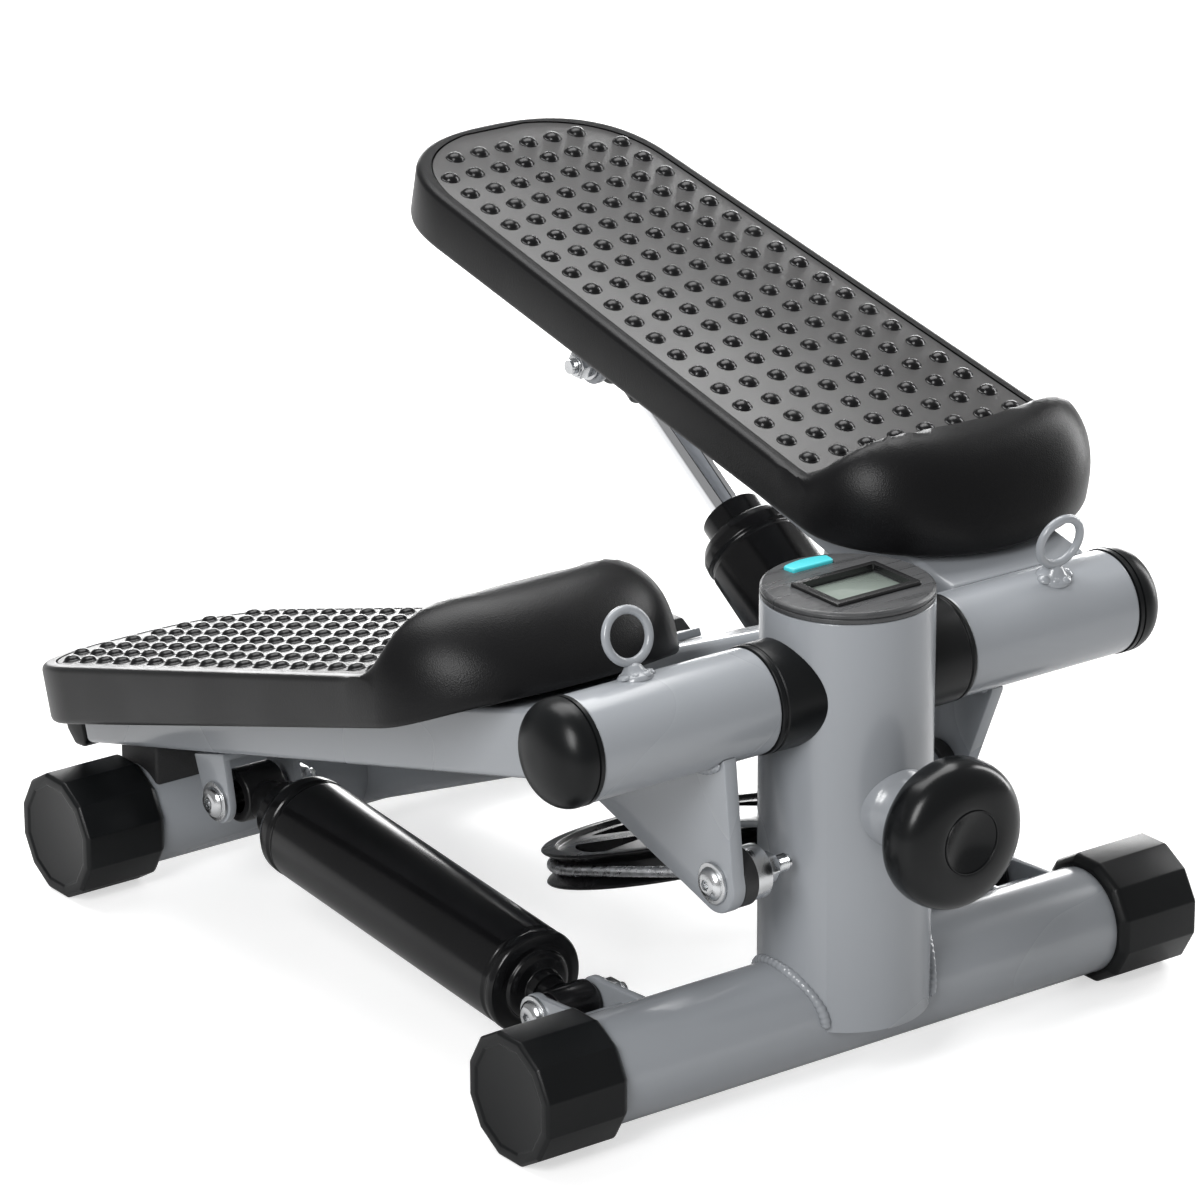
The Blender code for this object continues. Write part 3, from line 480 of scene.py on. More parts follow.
def weld(name, points, radius, body, closed=False):
    """A rippled bead of weld along a run of points."""
    fine = []
    count = len(points)
    spans = count if closed else count - 1
    for i in range(spans):
        a, b = points[i], points[(i + 1) % count]
        steps = max(int((b - a).length / (0.45 * MM)), 1)
        fine += [a.lerp(b, k / steps) for k in range(steps)]
    if not closed:
        fine.append(points[-1])
    radii = []
    for i in range(len(fine)):
        ripple = 0.16 * abs(sin(i * 0.55)) + 0.1 * sin(i * 0.13)
        fade = 1.0 if closed else min(1, (min(i, len(fine) - 1 - i) + 1) / 5)
        radii.append(radius * (0.86 + ripple) * fade)
    bead = sweep(name, fine, radii, "weld_paint", 10, closed)
    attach(bead, body)
    return bead


def put(obj, body, slot, *nodes):
    """The piece rides on the body and stands for the nodes. The slot argument is not used."""
    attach(obj, body)
    if nodes:
        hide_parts(*nodes)
    return obj


def pedal_place(tag):
    return Matrix.Translation((0, 0, AXLE_Z)) @ Matrix.Rotation(ANGLES[tag], 4, "X")


def pedal_side(tag):
    return SIDES[tag], pedal_place(tag)


def on_pedal(obj, tag, slot, node):
    put(obj, "pedal_" + tag, slot, node + "_" + tag)


def side_plane(place, x):
    turn = Matrix(((0, 0, 1, x), (1, 0, 0, 0), (0, 1, 0, 0), (0, 0, 0, 1)))
    return place @ turn


def plate(name, outline, place, x, thick, look, soft=0.7 * MM):
    """A flat plate in a side plane with softened edges."""
    made = prism(name, outline, side_plane(place, x), thick, look)
    return bevel(made, soft, 2)


# Base


def foot_cap(name, side, y):
    """Twelve-sided cup with softened ridges and a turned-in rim round the tube."""
    start = (side * (CAP_OUT_X - CAP_LEN), y, TUBE_Z)
    lip = 2.2 * MM
    outer = [
        (0, 0), (0, TUBE_R + 2.4 * MM), (lip, CAP_R - 0.9 * MM), (lip + 1.6 * MM, CAP_R),
        (CAP_LEN - 1.4 * MM, CAP_R), (CAP_LEN, CAP_R - 1.4 * MM), (CAP_LEN, CAP_R - 5.5 * MM),
        (CAP_LEN - 0.8 * MM, CAP_R - 6.3 * MM), (CAP_LEN - 0.8 * MM, 0),
    ]
    cap = lathe(name, outer, start, (side, 0, 0), "black_cap", 12, radians(15), 0)
    bevel(cap, 1.1 * MM, 3, 12, 24)
    bore = rod(
        name + "_bore", TUBE_R + GAP, (side * (CAP_OUT_X - CAP_LEN - 5 * MM), y, TUBE_Z),
        (side * (CAP_OUT_X - 5 * MM), y, TUBE_Z), None, 72,
    )
    cut(cap, bore, angle=24)
    put(cap, "base", "black_cap", name)


def cross_tube(name, y):
    half = CAP_OUT_X - 7 * MM
    ends = [(x, y, TUBE_Z) for x in (-half, half)]
    made = tube(name + "_skin", TUBE_R, TUBE_R - 2 * MM, *ends, "grey_paint")
    put(made, "base", "grey_paint", name)


def post():
    foot = (0, 0, POST_FOOT_Z)
    body = tube("post_skin", POST_R, POST_R - 3 * MM, foot, (0, 0, POST_TOP_Z), "grey_paint", 160)
    reach = POST_R + 10 * MM
    under = block("under", (-reach, -TUBE_R - GAP, 0), (reach, TUBE_R + GAP, TUBE_Z))
    hole = rod("axle_hole", AXLE_HOLE_R, (-reach, 0, AXLE_Z), (reach, 0, AXLE_Z))
    bore = rod("spindle_hole", SPINDLE_HOLE_R, (0, -reach, KNOB_Z), (0, reach, KNOB_Z))
    cut(body, tube_space(-reach, reach, 0), under, hole, bore)
    put(body, "base", "grey_paint", "post")
    for tag, side in SIDES.items():
        seam = []
        for k in range(33):
            a = pi * k / 32
            y = -(TUBE_R + 0.8 * MM) * cos(a)
            z = TUBE_Z + (TUBE_R + 0.8 * MM) * sin(a)
            x = sqrt(max((POST_R + 0.7 * MM) ** 2 - y**2, 0))
            seam.append(Vector((side * x, y, z)))
        weld("post_seam_" + tag, seam, 2.3 * MM, "base")


def beam_matrix():
    low = Vector((0, BASE_DEPTH, TUBE_Z))
    high = Vector((0, POST_R, BEAM_FRONT_Z))
    along = (high - low).normalized()
    turn = Matrix((-AX, along, along.cross(AX))).transposed().to_4x4()
    return Matrix.Translation(low) @ turn, (high - low).length


def main_beam():
    place, length = beam_matrix()
    w, h = BEAM_W / 2, BEAM_H / 2
    outline = rounded(rectangle(-w, -h, w, h), 5 * MM, 6)
    turn = Matrix(((1, 0, 0, 0), (0, 0, 1, -5 * MM), (0, 1, 0, 0), (0, 0, 0, 1)))
    beam = prism("main_beam_skin", outline, place @ turn, length + 35 * MM, "grey_paint")
    reach = 60 * MM
    cut(
        beam,
        tube_space(-reach, reach, BASE_DEPTH),
        post_space(),
        block("floor_cope", (-reach, 330 * MM, -50 * MM), (reach, 420 * MM, 6 * MM)),
    )
    put(beam, "base", "grey_paint", "main_beam")
    low, high = (-14 * MM, 262 * MM, GAP), (34 * MM, 279 * MM, 4 * MM + GAP)
    lug = block("beam_plate_skin", low, high, "grey_paint", place @ raised(h))
    bevel(lug, 0.8 * MM)
    put(lug, "base", "grey_paint", "beam_plate")
    top = place @ Vector((0, length, h))
    seam = []
    for k in range(25):
        x = -w + 2 * MM + (2 * w - 4 * MM) * k / 24
        y = sqrt((POST_R + 1 * MM) ** 2 - x**2)
        drop = (y - POST_R) * 0.4
        seam.append(Vector((x, y, top.z - drop + 0.6 * MM)))
    weld("beam_seam_top", seam, 2 * MM, "base")


def collars():
    for tag, side in SIDES.items():
        ring = lathe(
            "post_collar_skin_" + tag,
            [
                (0, AXLE_HOLE_R), (0, PIVOT_R + 0.8 * MM), (31 * MM, PIVOT_R + 0.8 * MM),
                (31.4 * MM, PIVOT_R + 0.2 * MM), (32.2 * MM, PIVOT_R + 0.2 * MM),
                (32.5 * MM, PIVOT_R + 0.8 * MM), (34.4 * MM, PIVOT_R + 0.6 * MM),
                (34.7 * MM, PIVOT_R), (34.7 * MM, AXLE_HOLE_R),
            ],
            (side * 20 * MM, 0, AXLE_Z), (side, 0, 0), "black_cap", 96, 0, 0.25 * MM,
        )
        cut(ring, post_space())
        put(ring, "base", "black_cap", "post_collar_" + tag)


# Knob, display


def knob():
    depth = KNOB_BACK_Y - KNOB_FACE_Y
    r = KNOB_R
    profile = [
        (0, 0), (0, r * 0.6), (1 * MM, r * 0.74), (3.2 * MM, r * 0.88), (6.5 * MM, r * 0.965),
        (10.5 * MM, r), (depth - 12 * MM, r), (depth - 8 * MM, r * 0.975),
        (depth - 4.6 * MM, r * 0.91), (depth - 2.2 * MM, r * 0.81), (depth - 0.7 * MM, r * 0.67),
        (depth, r * 0.54), (depth - 0.1 * MM, r * 0.45), (depth - 0.8 * MM, r * 0.4),
        (depth - 2.6 * MM, r * 0.3), (depth - 4.4 * MM, r * 0.15), (depth - 5 * MM, 0),
    ]
    back = (0, KNOB_BACK_Y, KNOB_Z)
    wheel = lathe("knob_grip", profile, back, (0, -1, 0), "knob_black", 120, 0, 0)
    smooth = wheel.modifiers.new("smooth", "SUBSURF")
    smooth.levels = 1
    smooth.render_levels = 1
    bake(wheel, 60)
    dimple = lathe(
        "knob_line",
        [
            (depth - 0.6 * MM, r * 0.405), (depth + 0.05 * MM, r * 0.412),
            (depth + 0.05 * MM, r * 0.424), (depth - 0.6 * MM, r * 0.432),
        ],
        back, (0, -1, 0), "knob_black", 96, 0, 0.1 * MM,
    )
    merge(wheel, dimple)
    put(wheel, "knob_turn", "knob_black", "knob")
    ends = [(0, y, KNOB_Z) for y in (KNOB_BACK_Y + GAP, 56 * MM)]
    spindle = thread("spindle_screw", 6 * MM, *ends, 1.5 * MM)
    put(spindle, "knob_turn", "zinc", "knob_spindle")
    boss = lathe(
        "knob_boss_skin",
        [
            (30 * MM, SPINDLE_HOLE_R),
            *mm((30, 20), (40, 18), (42.5, 16), (46, 14.4), (51, 13.4), (58, 13), (59, 12)),
            (59 * MM, SPINDLE_HOLE_R),
        ],
        (0, 0, KNOB_Z), (0, -1, 0), "grey_paint", 96, 0, 1.2 * MM,
    )
    cut(boss, post_space(), angle=50)
    put(boss, "base", "grey_paint", "knob_boss")


def thread(name, radius, start, end, pitch):
    """A round bar with thread grooves all along."""
    a, b = Vector(start), Vector(end)
    length = (b - a).length
    profile = [(0, 0), (0, radius * 0.86)]
    count = max(int(length / pitch) - 1, 1)
    for k in range(count):
        profile.append(((k + 0.75) * pitch, radius))
        profile.append(((k + 1.25) * pitch, radius * 0.88))
    profile += [(length, radius * 0.86), (length, 0)]
    return lathe(name, profile, a, b - a, "zinc", 36, 0, 0, 25)


def display():
    base = POST_TOP_Z + GAP
    r = POST_R
    ring = lathe(
        "display_ring",
        [
            (-12 * MM, 0), (-12 * MM, r - 3.3 * MM), (0, r - 3.3 * MM), (0, r),
            (2 * MM, r), (2 * MM, r - 0.8 * MM), (2.5 * MM, r - 0.8 * MM), (2.5 * MM, r - 0.1 * MM),
            (BEZEL_H - 1.1 * MM, r - 0.1 * MM), (BEZEL_H, r - 1.4 * MM), (BEZEL_H, 0),
        ],
        (0, 0, base), UP, "display_body", 160, 0, 0.35 * MM,
    )
    face = base + BEZEL_H
    low, high = (-20 * MM, -18.5 * MM, face - 4 * MM), (22 * MM, 9.5 * MM, face + 5 * MM)
    slot_cut = prism("slot", button_outline(GAP), raised(face - 5 * MM), 10 * MM)
    cut(ring, block("window", low, high), slot_cut)
    put(ring, "base", "display_body", "display_bezel")
    outer = rounded(rectangle(-23 * MM, -21.5 * MM, 25 * MM, 12.5 * MM), 2 * MM, 4)
    hood = prism("screen_frame", outer, raised(face - 1 * MM), 2.6 * MM, "display_frame")
    bevel(hood, 0.9 * MM)
    hole = rounded(rectangle(-19.2 * MM, -17.7 * MM, 21.2 * MM, 8.7 * MM), 0.8 * MM, 3)
    cut(hood, prism("hood_hole", hole, raised(face - 6 * MM), 12 * MM))
    put(hood, "base", "display_body")
    low, high = (-19.6 * MM, -18.1 * MM, face - 3.7 * MM), (21.6 * MM, 9.1 * MM, face - 2 * MM)
    screen = block("screen_glass", low, high, "display_lens")
    bevel(screen, 0.3 * MM, 2)
    put(screen, "base", "display_lens", "lcd_screen")
    outline = rounded(button_outline(0), 2 * MM, 4)
    button = prism("button_cap", outline, raised(face - 3.4 * MM), 5 * MM, "button_cyan")
    bevel(button, 0.9 * MM)
    put(button, "button", "button_cyan", "mode_button")


def button_outline(grow):
    back = arc(0, 0, 33 * MM + grow, 68, 112, 12)
    return [*back, (-11.5 * MM - grow, 24 * MM - grow), (11.5 * MM + grow, 24 * MM - grow)]


# Pedals


def clamp(t):
    return min(max(t, 0), 1)


def ease(t):
    t = clamp(t)
    return t * t * (3 - 2 * t)


def along_tread(v):
    """How far v is along the tread, from 0 at the toe cap to 1 at the heel."""
    return clamp((v - BOUND_V) / (HEEL_V - BOUND_V))


def straight_edges(v):
    """The pedal's inner and outer x at v, without its rounded ends."""
    return [toe + (heel - toe) * along_tread(v) for toe, heel in zip(TOE_X, HEEL_X)]


def pedal_edges(v):
    low, high = straight_edges(v)
    mid = (low + high) / 2
    half = (high - low) / 2
    squeeze = 1.0
    if v > HEEL_V - HEEL_LEN:
        s = min((v - HEEL_V + HEEL_LEN) / HEEL_LEN, 1)
        squeeze = max(1 - s**2.5, 0) ** (1 / 2.5)
    if v < TOE_V + TOE_LEN:
        s = min((TOE_V + TOE_LEN - v) / TOE_LEN, 1)
        squeeze = max(1 - s**2.1, 0) ** (1 / 2.1)
    return mid - half * squeeze, mid + half * squeeze


def underside(v):
    low = 17 * MM - 5.5 * MM * along_tread(v)
    if v < BOUND_V:
        low += 5 * MM * ease((BOUND_V - v) / (BOUND_V - TOE_V))
    return low


def toe_rise(v, x, inset):
    """Height of the toe cap's skin: steep at the tread, full at the crest, round to the front."""
    low, high = pedal_edges(max(v, TOE_V + 20 * MM))
    middle = (low + high) / 2
    t = (x - middle) / ((high - low) / 2)
    lip = BOUND_V + 5 * MM - 9 * MM * (1 - min(abs(t), 1) ** 2) + 7 * MM
    climb = ease((lip - v) / (24 * MM))
    crest = (CROWN_W - TREAD_W) * climb
    nose = clamp((TOE_V + 44 * MM - v) / (44 * MM))
    top = TREAD_W + crest
    floor = underside(v) + 5 * MM
    top -= (top - floor) * (1 - sqrt(max(1 - nose**2.4, 0)))
    shoulder = min(inset / (34 * MM), 1)
    dome = sqrt(max(1 - (1 - shoulder) ** 2.2, 0))
    edge = min(TREAD_W - (8 * MM) * climb, top)
    edge = max(edge - (TREAD_W - 8 * MM - floor) * (1 - sqrt(max(1 - nose**2, 0))), floor)
    return edge + (top - edge) * dome


def outline_marks():
    """Points round the footplate's edge as (x, v), starting at the toe."""
    steps = []
    for k in range(41):
        s = 1 - cos(pi / 2 * k / 40)
        steps.append(TOE_V + TOE_LEN * s)
    straight = 40
    for k in range(1, straight):
        steps.append(TOE_V + TOE_LEN + (HEEL_V - HEEL_LEN - TOE_V - TOE_LEN) * k / straight)
    for k in range(41):
        s = sin(pi / 2 * k / 40)
        steps.append(HEEL_V - HEEL_LEN + HEEL_LEN * s)
    inner = [(pedal_edges(v)[0], v) for v in steps]
    outer = [(pedal_edges(v)[1], v) for v in steps]
    return inner + outer[::-1][1:-1]


def spine_point(v):
    """The point of the middle line that the edge at v is drawn in towards."""
    low, high = pedal_edges(BOUND_V + 60 * MM)
    half = (high - low) / 2
    mid = (low + high) / 2
    return mid, min(max(v, TOE_V + half * 0.9), HEEL_V - half * 0.9)


def footplate(tag):
    side, place = pedal_side(tag)
    edge = outline_marks()
    count = len(edge)
    insets = [0, 0.25, 0.7, 1.3, 2.1, 3.0, 4.2, 5.8, 8, 11, 15, 20, 26, 33, 41, 50, 59, 66]
    verts = []
    rings = []

    def ring(points):
        rings.append(list(range(len(verts), len(verts) + len(points))))
        verts.extend(points)

    def inward(x, v, amount):
        cx, cv = spine_point(v)
        gap = Vector((cx - x, cv - v))
        reach = gap.length
        share = min(amount / max(reach, 1e-6), 1)
        return x + gap.x * share, v + gap.y * share

    def at(x, v, w):
        return place @ Vector((side * x, v, w))

    for d, lift in ((60, 0), (4, 0), (1.6, 0.35), (0.5, 1.3), (0.0, 3.0)):
        ring([at(*inward(x, v, d * MM), underside(v) + lift * MM) for x, v in edge])
    for amount in insets:
        d = amount * MM
        points = []
        for x, v in edge:
            px, pv = inward(x, v, d)
            r = 3.2 * MM
            drop = r - sqrt(max(r * r - (r - min(d, r)) ** 2, 0))
            height = TREAD_W - drop
            if pv < BOUND_V + 16 * MM:
                skin = toe_rise(pv, px, d)
                height = max(skin, height) if pv > BOUND_V - 2 * MM else skin - drop * 0.8
            points.append(at(px, pv, height))
        ring(points)
    faces = []
    for a, b in zip(rings, rings[1:]):
        for k in range(count):
            m = (k + 1) % count
            faces.append((a[k], a[m], b[m], b[k]))
    plate_obj = loft("footplate_skin_" + tag, verts, faces, rings, "pedal_black")
    recess = [(side * x, v) for x, v in mat_outline(6 * MM)]
    top = place @ raised(TREAD_W - RECESS)
    cut(plate_obj, prism("recess", recess, top, 8 * MM), angle=40)
    on_pedal(plate_obj, tag, "pedal_black", "footplate")


def loft(name, verts, faces, rings, look):
    """Closes the first and last rings with a strip across and makes the object."""
    for loop in (rings[0], rings[-1]):
        count = len(loop)
        half = count // 2
        for k in range(half):
            a, b = loop[k], loop[k + 1]
            c, d = loop[(count - k - 1) % count], loop[(count - k) % count]
            face = list(dict.fromkeys([a, b, c, d]))
            if len(face) > 2:
                faces.append(face)
    bm = bmesh.new()
    made = [bm.verts.new(v) for v in verts]
    for face in faces:
        try:
            bm.faces.new([made[i] for i in face])
        except ValueError:
            continue
    bmesh.ops.remove_doubles(bm, verts=bm.verts, dist=2e-5)
    bmesh.ops.dissolve_degenerate(bm, edges=bm.edges, dist=1e-6)
    return finished(name, bm, look, 50)


def mat_outline(inset):
    start = BOUND_V + inset
    marks = [start, 240 * MM]
    for k in range(25):
        marks.append(HEEL_V - HEEL_LEN + (HEEL_LEN - inset) * sin(pi / 2 * k / 24))
    inner = []
    outer = []
    for v in marks:
        stretch = (v - start) / (HEEL_V - inset - start)
        low, high = pedal_edges(v + inset * 0.7 * stretch)
        inner.append((low + inset, v))
        outer.append((high - inset, v))
    return inner + outer[::-1]


def tread(tag):
    """Textured mat with rows of black domed studs."""
    side, place = pedal_side(tag)
    outline = [(side * x, v) for x, v in mat_outline(6.6 * MM)]
    bottom = TREAD_W - RECESS + GAP
    top = bottom + 1.9 * MM
    mat = prism("tread_skin_" + tag, outline, place @ raised(bottom), top - bottom, "tread_grey")
    bevel(mat, 0.5 * MM, 2)
    on_pedal(mat, tag, "tread_grey", "tread_mat")
    studs = []
    first = BOUND_V + 19 * MM
    for row in range(20):
        v = first + row * 17.1 * MM
        low, high = pedal_edges(v + 9 * MM)
        inner, outer = straight_edges(v)
        start = inner + 16.5 * MM
        for column in range(8):
            x = start + (outer - 16.5 * MM - start) * column / 7
            if low + 11 * MM < x < high - 11 * MM and v < HEEL_V - 15 * MM:
                studs.append((side * x, v))
    verts = []
    faces = []
    seg = 20
    shape = (
        (4.9, -0.3), (4.9, 0.05), (4.55, 0.35), (4.2, 0.45), (4.0, 0.9), (3.55, 1.6), (2.8, 2.2),
        (1.7, 2.65), (0.7, 2.83),
    )
    for x, v in studs:
        base = len(verts)
        for r, h in shape:
            for k in range(seg):
                a = 2 * pi * k / seg
                spot = Vector((x + r * MM * cos(a), v + r * MM * sin(a), top + h * MM))
                verts.append(place @ spot)
        rows = len(shape)
        for i in range(rows - 1):
            for k in range(seg):
                m = (k + 1) % seg
                a, b = base + i * seg, base + (i + 1) * seg
                faces.append((a + k, a + m, b + m, b + k))
        faces.append([base + k for k in range(seg)])
        faces.append([base + (rows - 1) * seg + k for k in range(seg)])
    grid = mesh_object("tread_studs_" + tag, verts, faces, "stud_black", 60)
    put(grid, "pedal_" + tag, "tread_grey")


def pedal_arm(tag):
    side, place = pedal_side(tag)
    outline = [
        (16 * MM, -15 * MM), (ARM_END, -3 * MM), (ARM_END, 13 * MM),
        (90 * MM, 18 * MM), (16 * MM, 18 * MM),
    ]
    x0, x1 = sorted((side * ARM_X[0], side * ARM_X[1]))
    arm = prism("pedal_arm_skin_" + tag, outline, side_plane(place, x0), x1 - x0, "grey_paint")
    bevel(arm, 2.6 * MM, 4)
    ends = [place @ Vector((x, 0, 0)) for x in (x0 - 5 * MM, x1 + 5 * MM)]
    cut(arm, rod("arm_cope", PIVOT_R + GAP, *ends, None, 96))
    on_pedal(arm, tag, "grey_paint", "pedal_arm")
    bead = [
        place @ Vector((x0 + 3 * MM + (x1 - x0 - 6 * MM) * k / 20, 19.2 * MM, -15.6 * MM))
        for k in range(21)
    ]
    weld("arm_seam_" + tag, bead, 1.8 * MM, "pedal_" + tag)
    plug_line = [
        (ARM_END + GAP, -3 * MM), (ARM_END + 4 * MM, -5.5 * MM), (ARM_END + 12 * MM, -4 * MM),
        (ARM_END + 17 * MM, 4 * MM), (ARM_END + 17 * MM, 9.5 * MM), (ARM_END + GAP, 9.5 * MM),
    ]
    plug = prism("arm_plug_skin_" + tag, plug_line, side_plane(place, x0), x1 - x0, "black_cap")
    bevel(plug, 2 * MM, 4)
    on_pedal(plug, tag, "black_cap", "arm_plug")


def pivot_tube(tag):
    side = SIDES[tag]
    start = (side * SEAM_IN_X, 0, AXLE_Z)
    length = SEAM_OUT_X - SEAM_IN_X
    profile = [
        (0, PIVOT_R - 2.5 * MM), (0, PIVOT_R - 0.3 * MM), (0.8 * MM, PIVOT_R),
        (length - 0.8 * MM, PIVOT_R), (length, PIVOT_R - 0.5 * MM), (length, PIVOT_R - 2.5 * MM),
    ]
    made = lathe("pivot_skin_" + tag, profile, start, (side, 0, 0), "grey_paint", 128, 0, 0.4 * MM)
    on_pedal(made, tag, "grey_paint", "pivot_tube")


def dome_cap(tag):
    side = SIDES[tag]
    start = SEAM_OUT_X + GAP
    length = DOME_X - start
    skirt = 5 * MM
    r = PIVOT_R + 0.5 * MM
    groove = r - 0.7 * MM
    profile = [
        (0, 0), (0, r), (2 * MM, r), (2.2 * MM, groove), (2.9 * MM, groove), (3.1 * MM, r), (skirt, r),
    ]
    steps = 24
    for k in range(1, steps):
        a = pi / 2 * k / steps
        profile.append((skirt + (length - skirt) * sin(a), r * cos(a) ** 0.8))
    profile.append((length, 0))
    base = (side * start, 0, AXLE_Z)
    made = lathe("end_dome_skin_" + tag, profile, base, (side, 0, 0), "black_cap", 96, 0, 0)
    on_pedal(made, tag, "black_cap", "end_dome")


def eye_ring(tag):
    side, place = pedal_side(tag)
    wire = 2 * MM
    loop = 11.5 * MM
    seat = PIVOT_R + GAP
    centre = Vector((side * RING_X, RING_V, seat + 4 * MM + loop + wire))
    points = []
    for i in range(72):
        a = 2 * pi * i / 72
        points.append(place @ (centre + Vector((loop * sin(a), 0, loop * cos(a)))))
    ring = sweep("eye_ring_skin_" + tag, points, [wire] * 72, "grey_paint", 20, True)
    up = place.to_3x3() @ UP
    foot = lathe(
        "eye_foot",
        mm((0, 0), (0, 8.6), (2.2, 8), (3.4, 6.2), (5, 4.8), (7, 3.6), (8.2, 1.8), (8.4, 0)),
        place @ Vector((side * RING_X, RING_V, PIVOT_R - 2 * MM)), up, "weld_paint", 40, 0,
        0.8 * MM, 60,
    )
    blobs = []
    for dx, dv, r in (
        (-6.4, -1.5, 3.4), (6.4, -1.2, 3.2), (2.2, -5.6, 2.8), (-2.4, -4.4, 2.6), (-2.5, 4.2, 2.8),
    ):
        base = place @ Vector((side * RING_X + dx * MM, RING_V + dv * MM, PIVOT_R - 0.6 * MM))
        profile = mm((0, 0), (0, r), (1.2, r), (2.4, r * 0.6), (2.8, 0))
        blobs.append(lathe("blob", profile, base, up, "weld_paint", 20, 0, 0.8 * MM, 60))
    merge(ring, foot, *blobs)
    on_pedal(ring, tag, "grey_paint", "eye_ring")


def lever(tag):
    side, place = pedal_side(tag)
    outline = [
        (EYE_V - 14 * MM, EYE_W + 2 * MM), *arc(EYE_V, EYE_W, 14 * MM, 190, 300, 16),
        (112 * MM, -24 * MM), (112 * MM, -11 * MM), (-12 * MM, -10 * MM), (-14 * MM, -22 * MM),
    ]
    x = side * LEVER_X - LEVER_T / 2
    made = plate("lever_skin_" + tag, outline, place, x, LEVER_T, "grey_paint", 0.9 * MM)
    ends = [place @ Vector((side * LEVER_X + d, 0, 0)) for d in (-20 * MM, 20 * MM)]
    hole = [place @ Vector((side * LEVER_X + d, EYE_V, EYE_W)) for d in (-20 * MM, 20 * MM)]
    x0, x1 = sorted((side * ARM_X[0], side * ARM_X[1]))
    space = [(16 * MM, -15.3 * MM), (ARM_END, -3.3 * MM), (ARM_END, 20 * MM), (16 * MM, 20 * MM)]
    cut(
        made,
        rod("lever_seat", PIVOT_R + GAP, *ends, None, 96),
        rod("lever_hole", BOLT_R + GAP, *hole),
        prism("lever_space", space, side_plane(place, x0 - GAP), x1 - x0 + 2 * GAP),
    )
    on_pedal(made, tag, "grey_paint", "lever")
    for end, face in (("in", -1), ("out", 1)):
        bead = []
        for k in range(15):
            a = radians(-118 + 72 * k / 14)
            spot = Vector((
                side * LEVER_X + face * side * (LEVER_T / 2 + 0.6 * MM),
                (PIVOT_R + 0.6 * MM) * cos(a), (PIVOT_R + 0.6 * MM) * sin(a),
            ))
            bead.append(place @ spot)
        weld("lever_seam_" + end + "_" + tag, bead, 1.7 * MM, "pedal_" + tag)


# Bolts and cable


def hexagon(radius):
    return [(radius * cos(pi / 3 * k), radius * sin(pi / 3 * k)) for k in range(6)]


def bolt(name, start, direction, shank, nut_at):
    """Socket dome head on a washer, plain shank, then a washer, hexagon nut and thread end."""
    start = Vector(start)
    run = Vector(direction).normalized()
    head = lathe(
        "head",
        [
            *mm((-5, 0), (-5, 3.4), (-4.6, 5), (-3.6, 6.5), (-2.3, 7.5), (-1.5, 7.5), (-1.5, 9.5), (0, 9.5)),
            (0, BOLT_R), (nut_at, BOLT_R), (nut_at, 8.5 * MM), (nut_at + 1.5 * MM, 8.5 * MM),
            (nut_at + 1.5 * MM, 0),
        ],
        start, run, "zinc", 56, 0, 0.3 * MM,
    )
    socket = prism("socket", hexagon(2.7 * MM), axis_frame(start - run * 7 * MM, run), 5 * MM)
    cut(head, socket)
    spot = start + run * (nut_at + 1.5 * MM)
    nut = prism("nut", hexagon(7.2 * MM), axis_frame(spot, run), 6.4 * MM, "zinc")
    bevel(nut, 0.6 * MM, 2)
    collar = lathe(
        "nylon", mm((0, 0), (0, 5.6), (1.2, 5.2), (1.2, 0)), spot + run * 6.2 * MM, run, "zinc", 40,
    )
    stub = thread("stub", BOLT_R, spot + run * 6 * MM, start + run * shank, 1.0 * MM)
    obj = merge(head, nut, collar, stub)
    obj.name = name
    return obj


def pulley_place():
    return Matrix.Translation((0, PULLEY_Y, PULLEY_Z)) @ Matrix.Rotation(-PULLEY_TILT, 4, "X")


def cable_tangent(side):
    return pulley_place() @ Vector((side * CABLE_X, 0, 0))


def stack_point(side, inward, place):
    return place @ Vector((side * (LEVER_X + LEVER_T / 2 - inward), EYE_V, EYE_W))


def lever_hardware(tag):
    side, place = pedal_side(tag)
    mid = LEVER_X + LEVER_T / 2 - CABLE_X
    start = stack_point(side, -GAP, place)
    made = bolt("lever_bolt_set_" + tag, start, (-side, 0, 0), 41 * MM, mid + 4.6 * MM)
    on_pedal(made, tag, "zinc", "lever_bolt")
    low = stack_point(side, mid - 4.5 * MM, place)
    high = stack_point(side, mid + 4 * MM, place)
    ring = tube("terminal_skin_" + tag, 12.4 * MM, 8.2 * MM, low, high, "zinc", 64)
    face = stack_point(side, LEVER_T + GAP, place)
    bush = tube("terminal_bush", 8 * MM, BOLT_R + GAP, face, high, "bush_black", 56)
    near = stack_point(side, mid - 4.8 * MM, place)
    collar = tube("terminal_collar", 13.6 * MM, BOLT_R + GAP, face, near, "bush_black", 64)
    eye = place @ Vector((side * CABLE_X, EYE_V, EYE_W))
    run = (cable_tangent(side) - eye).normalized()
    neck = lathe(
        "terminal_neck",
        [
            (0, CABLE_R + 0.2 * MM),
            *mm((0, 5.4), (4, 5), (7, 4.3), (8, 3.9), (9, 4.3), (13, 4.3), (14, 3.9), (15, 4.3)),
            *mm((20.6, 4.2), (21, 3.6)), (21 * MM, CABLE_R + 0.2 * MM),
        ],
        eye + run * 9.2 * MM, run, "zinc", 40, 0, 0.4 * MM,
    )
    merge(ring, bush, collar, neck)
    on_pedal(ring, tag, "zinc", "cable_terminal")
    return eye, run


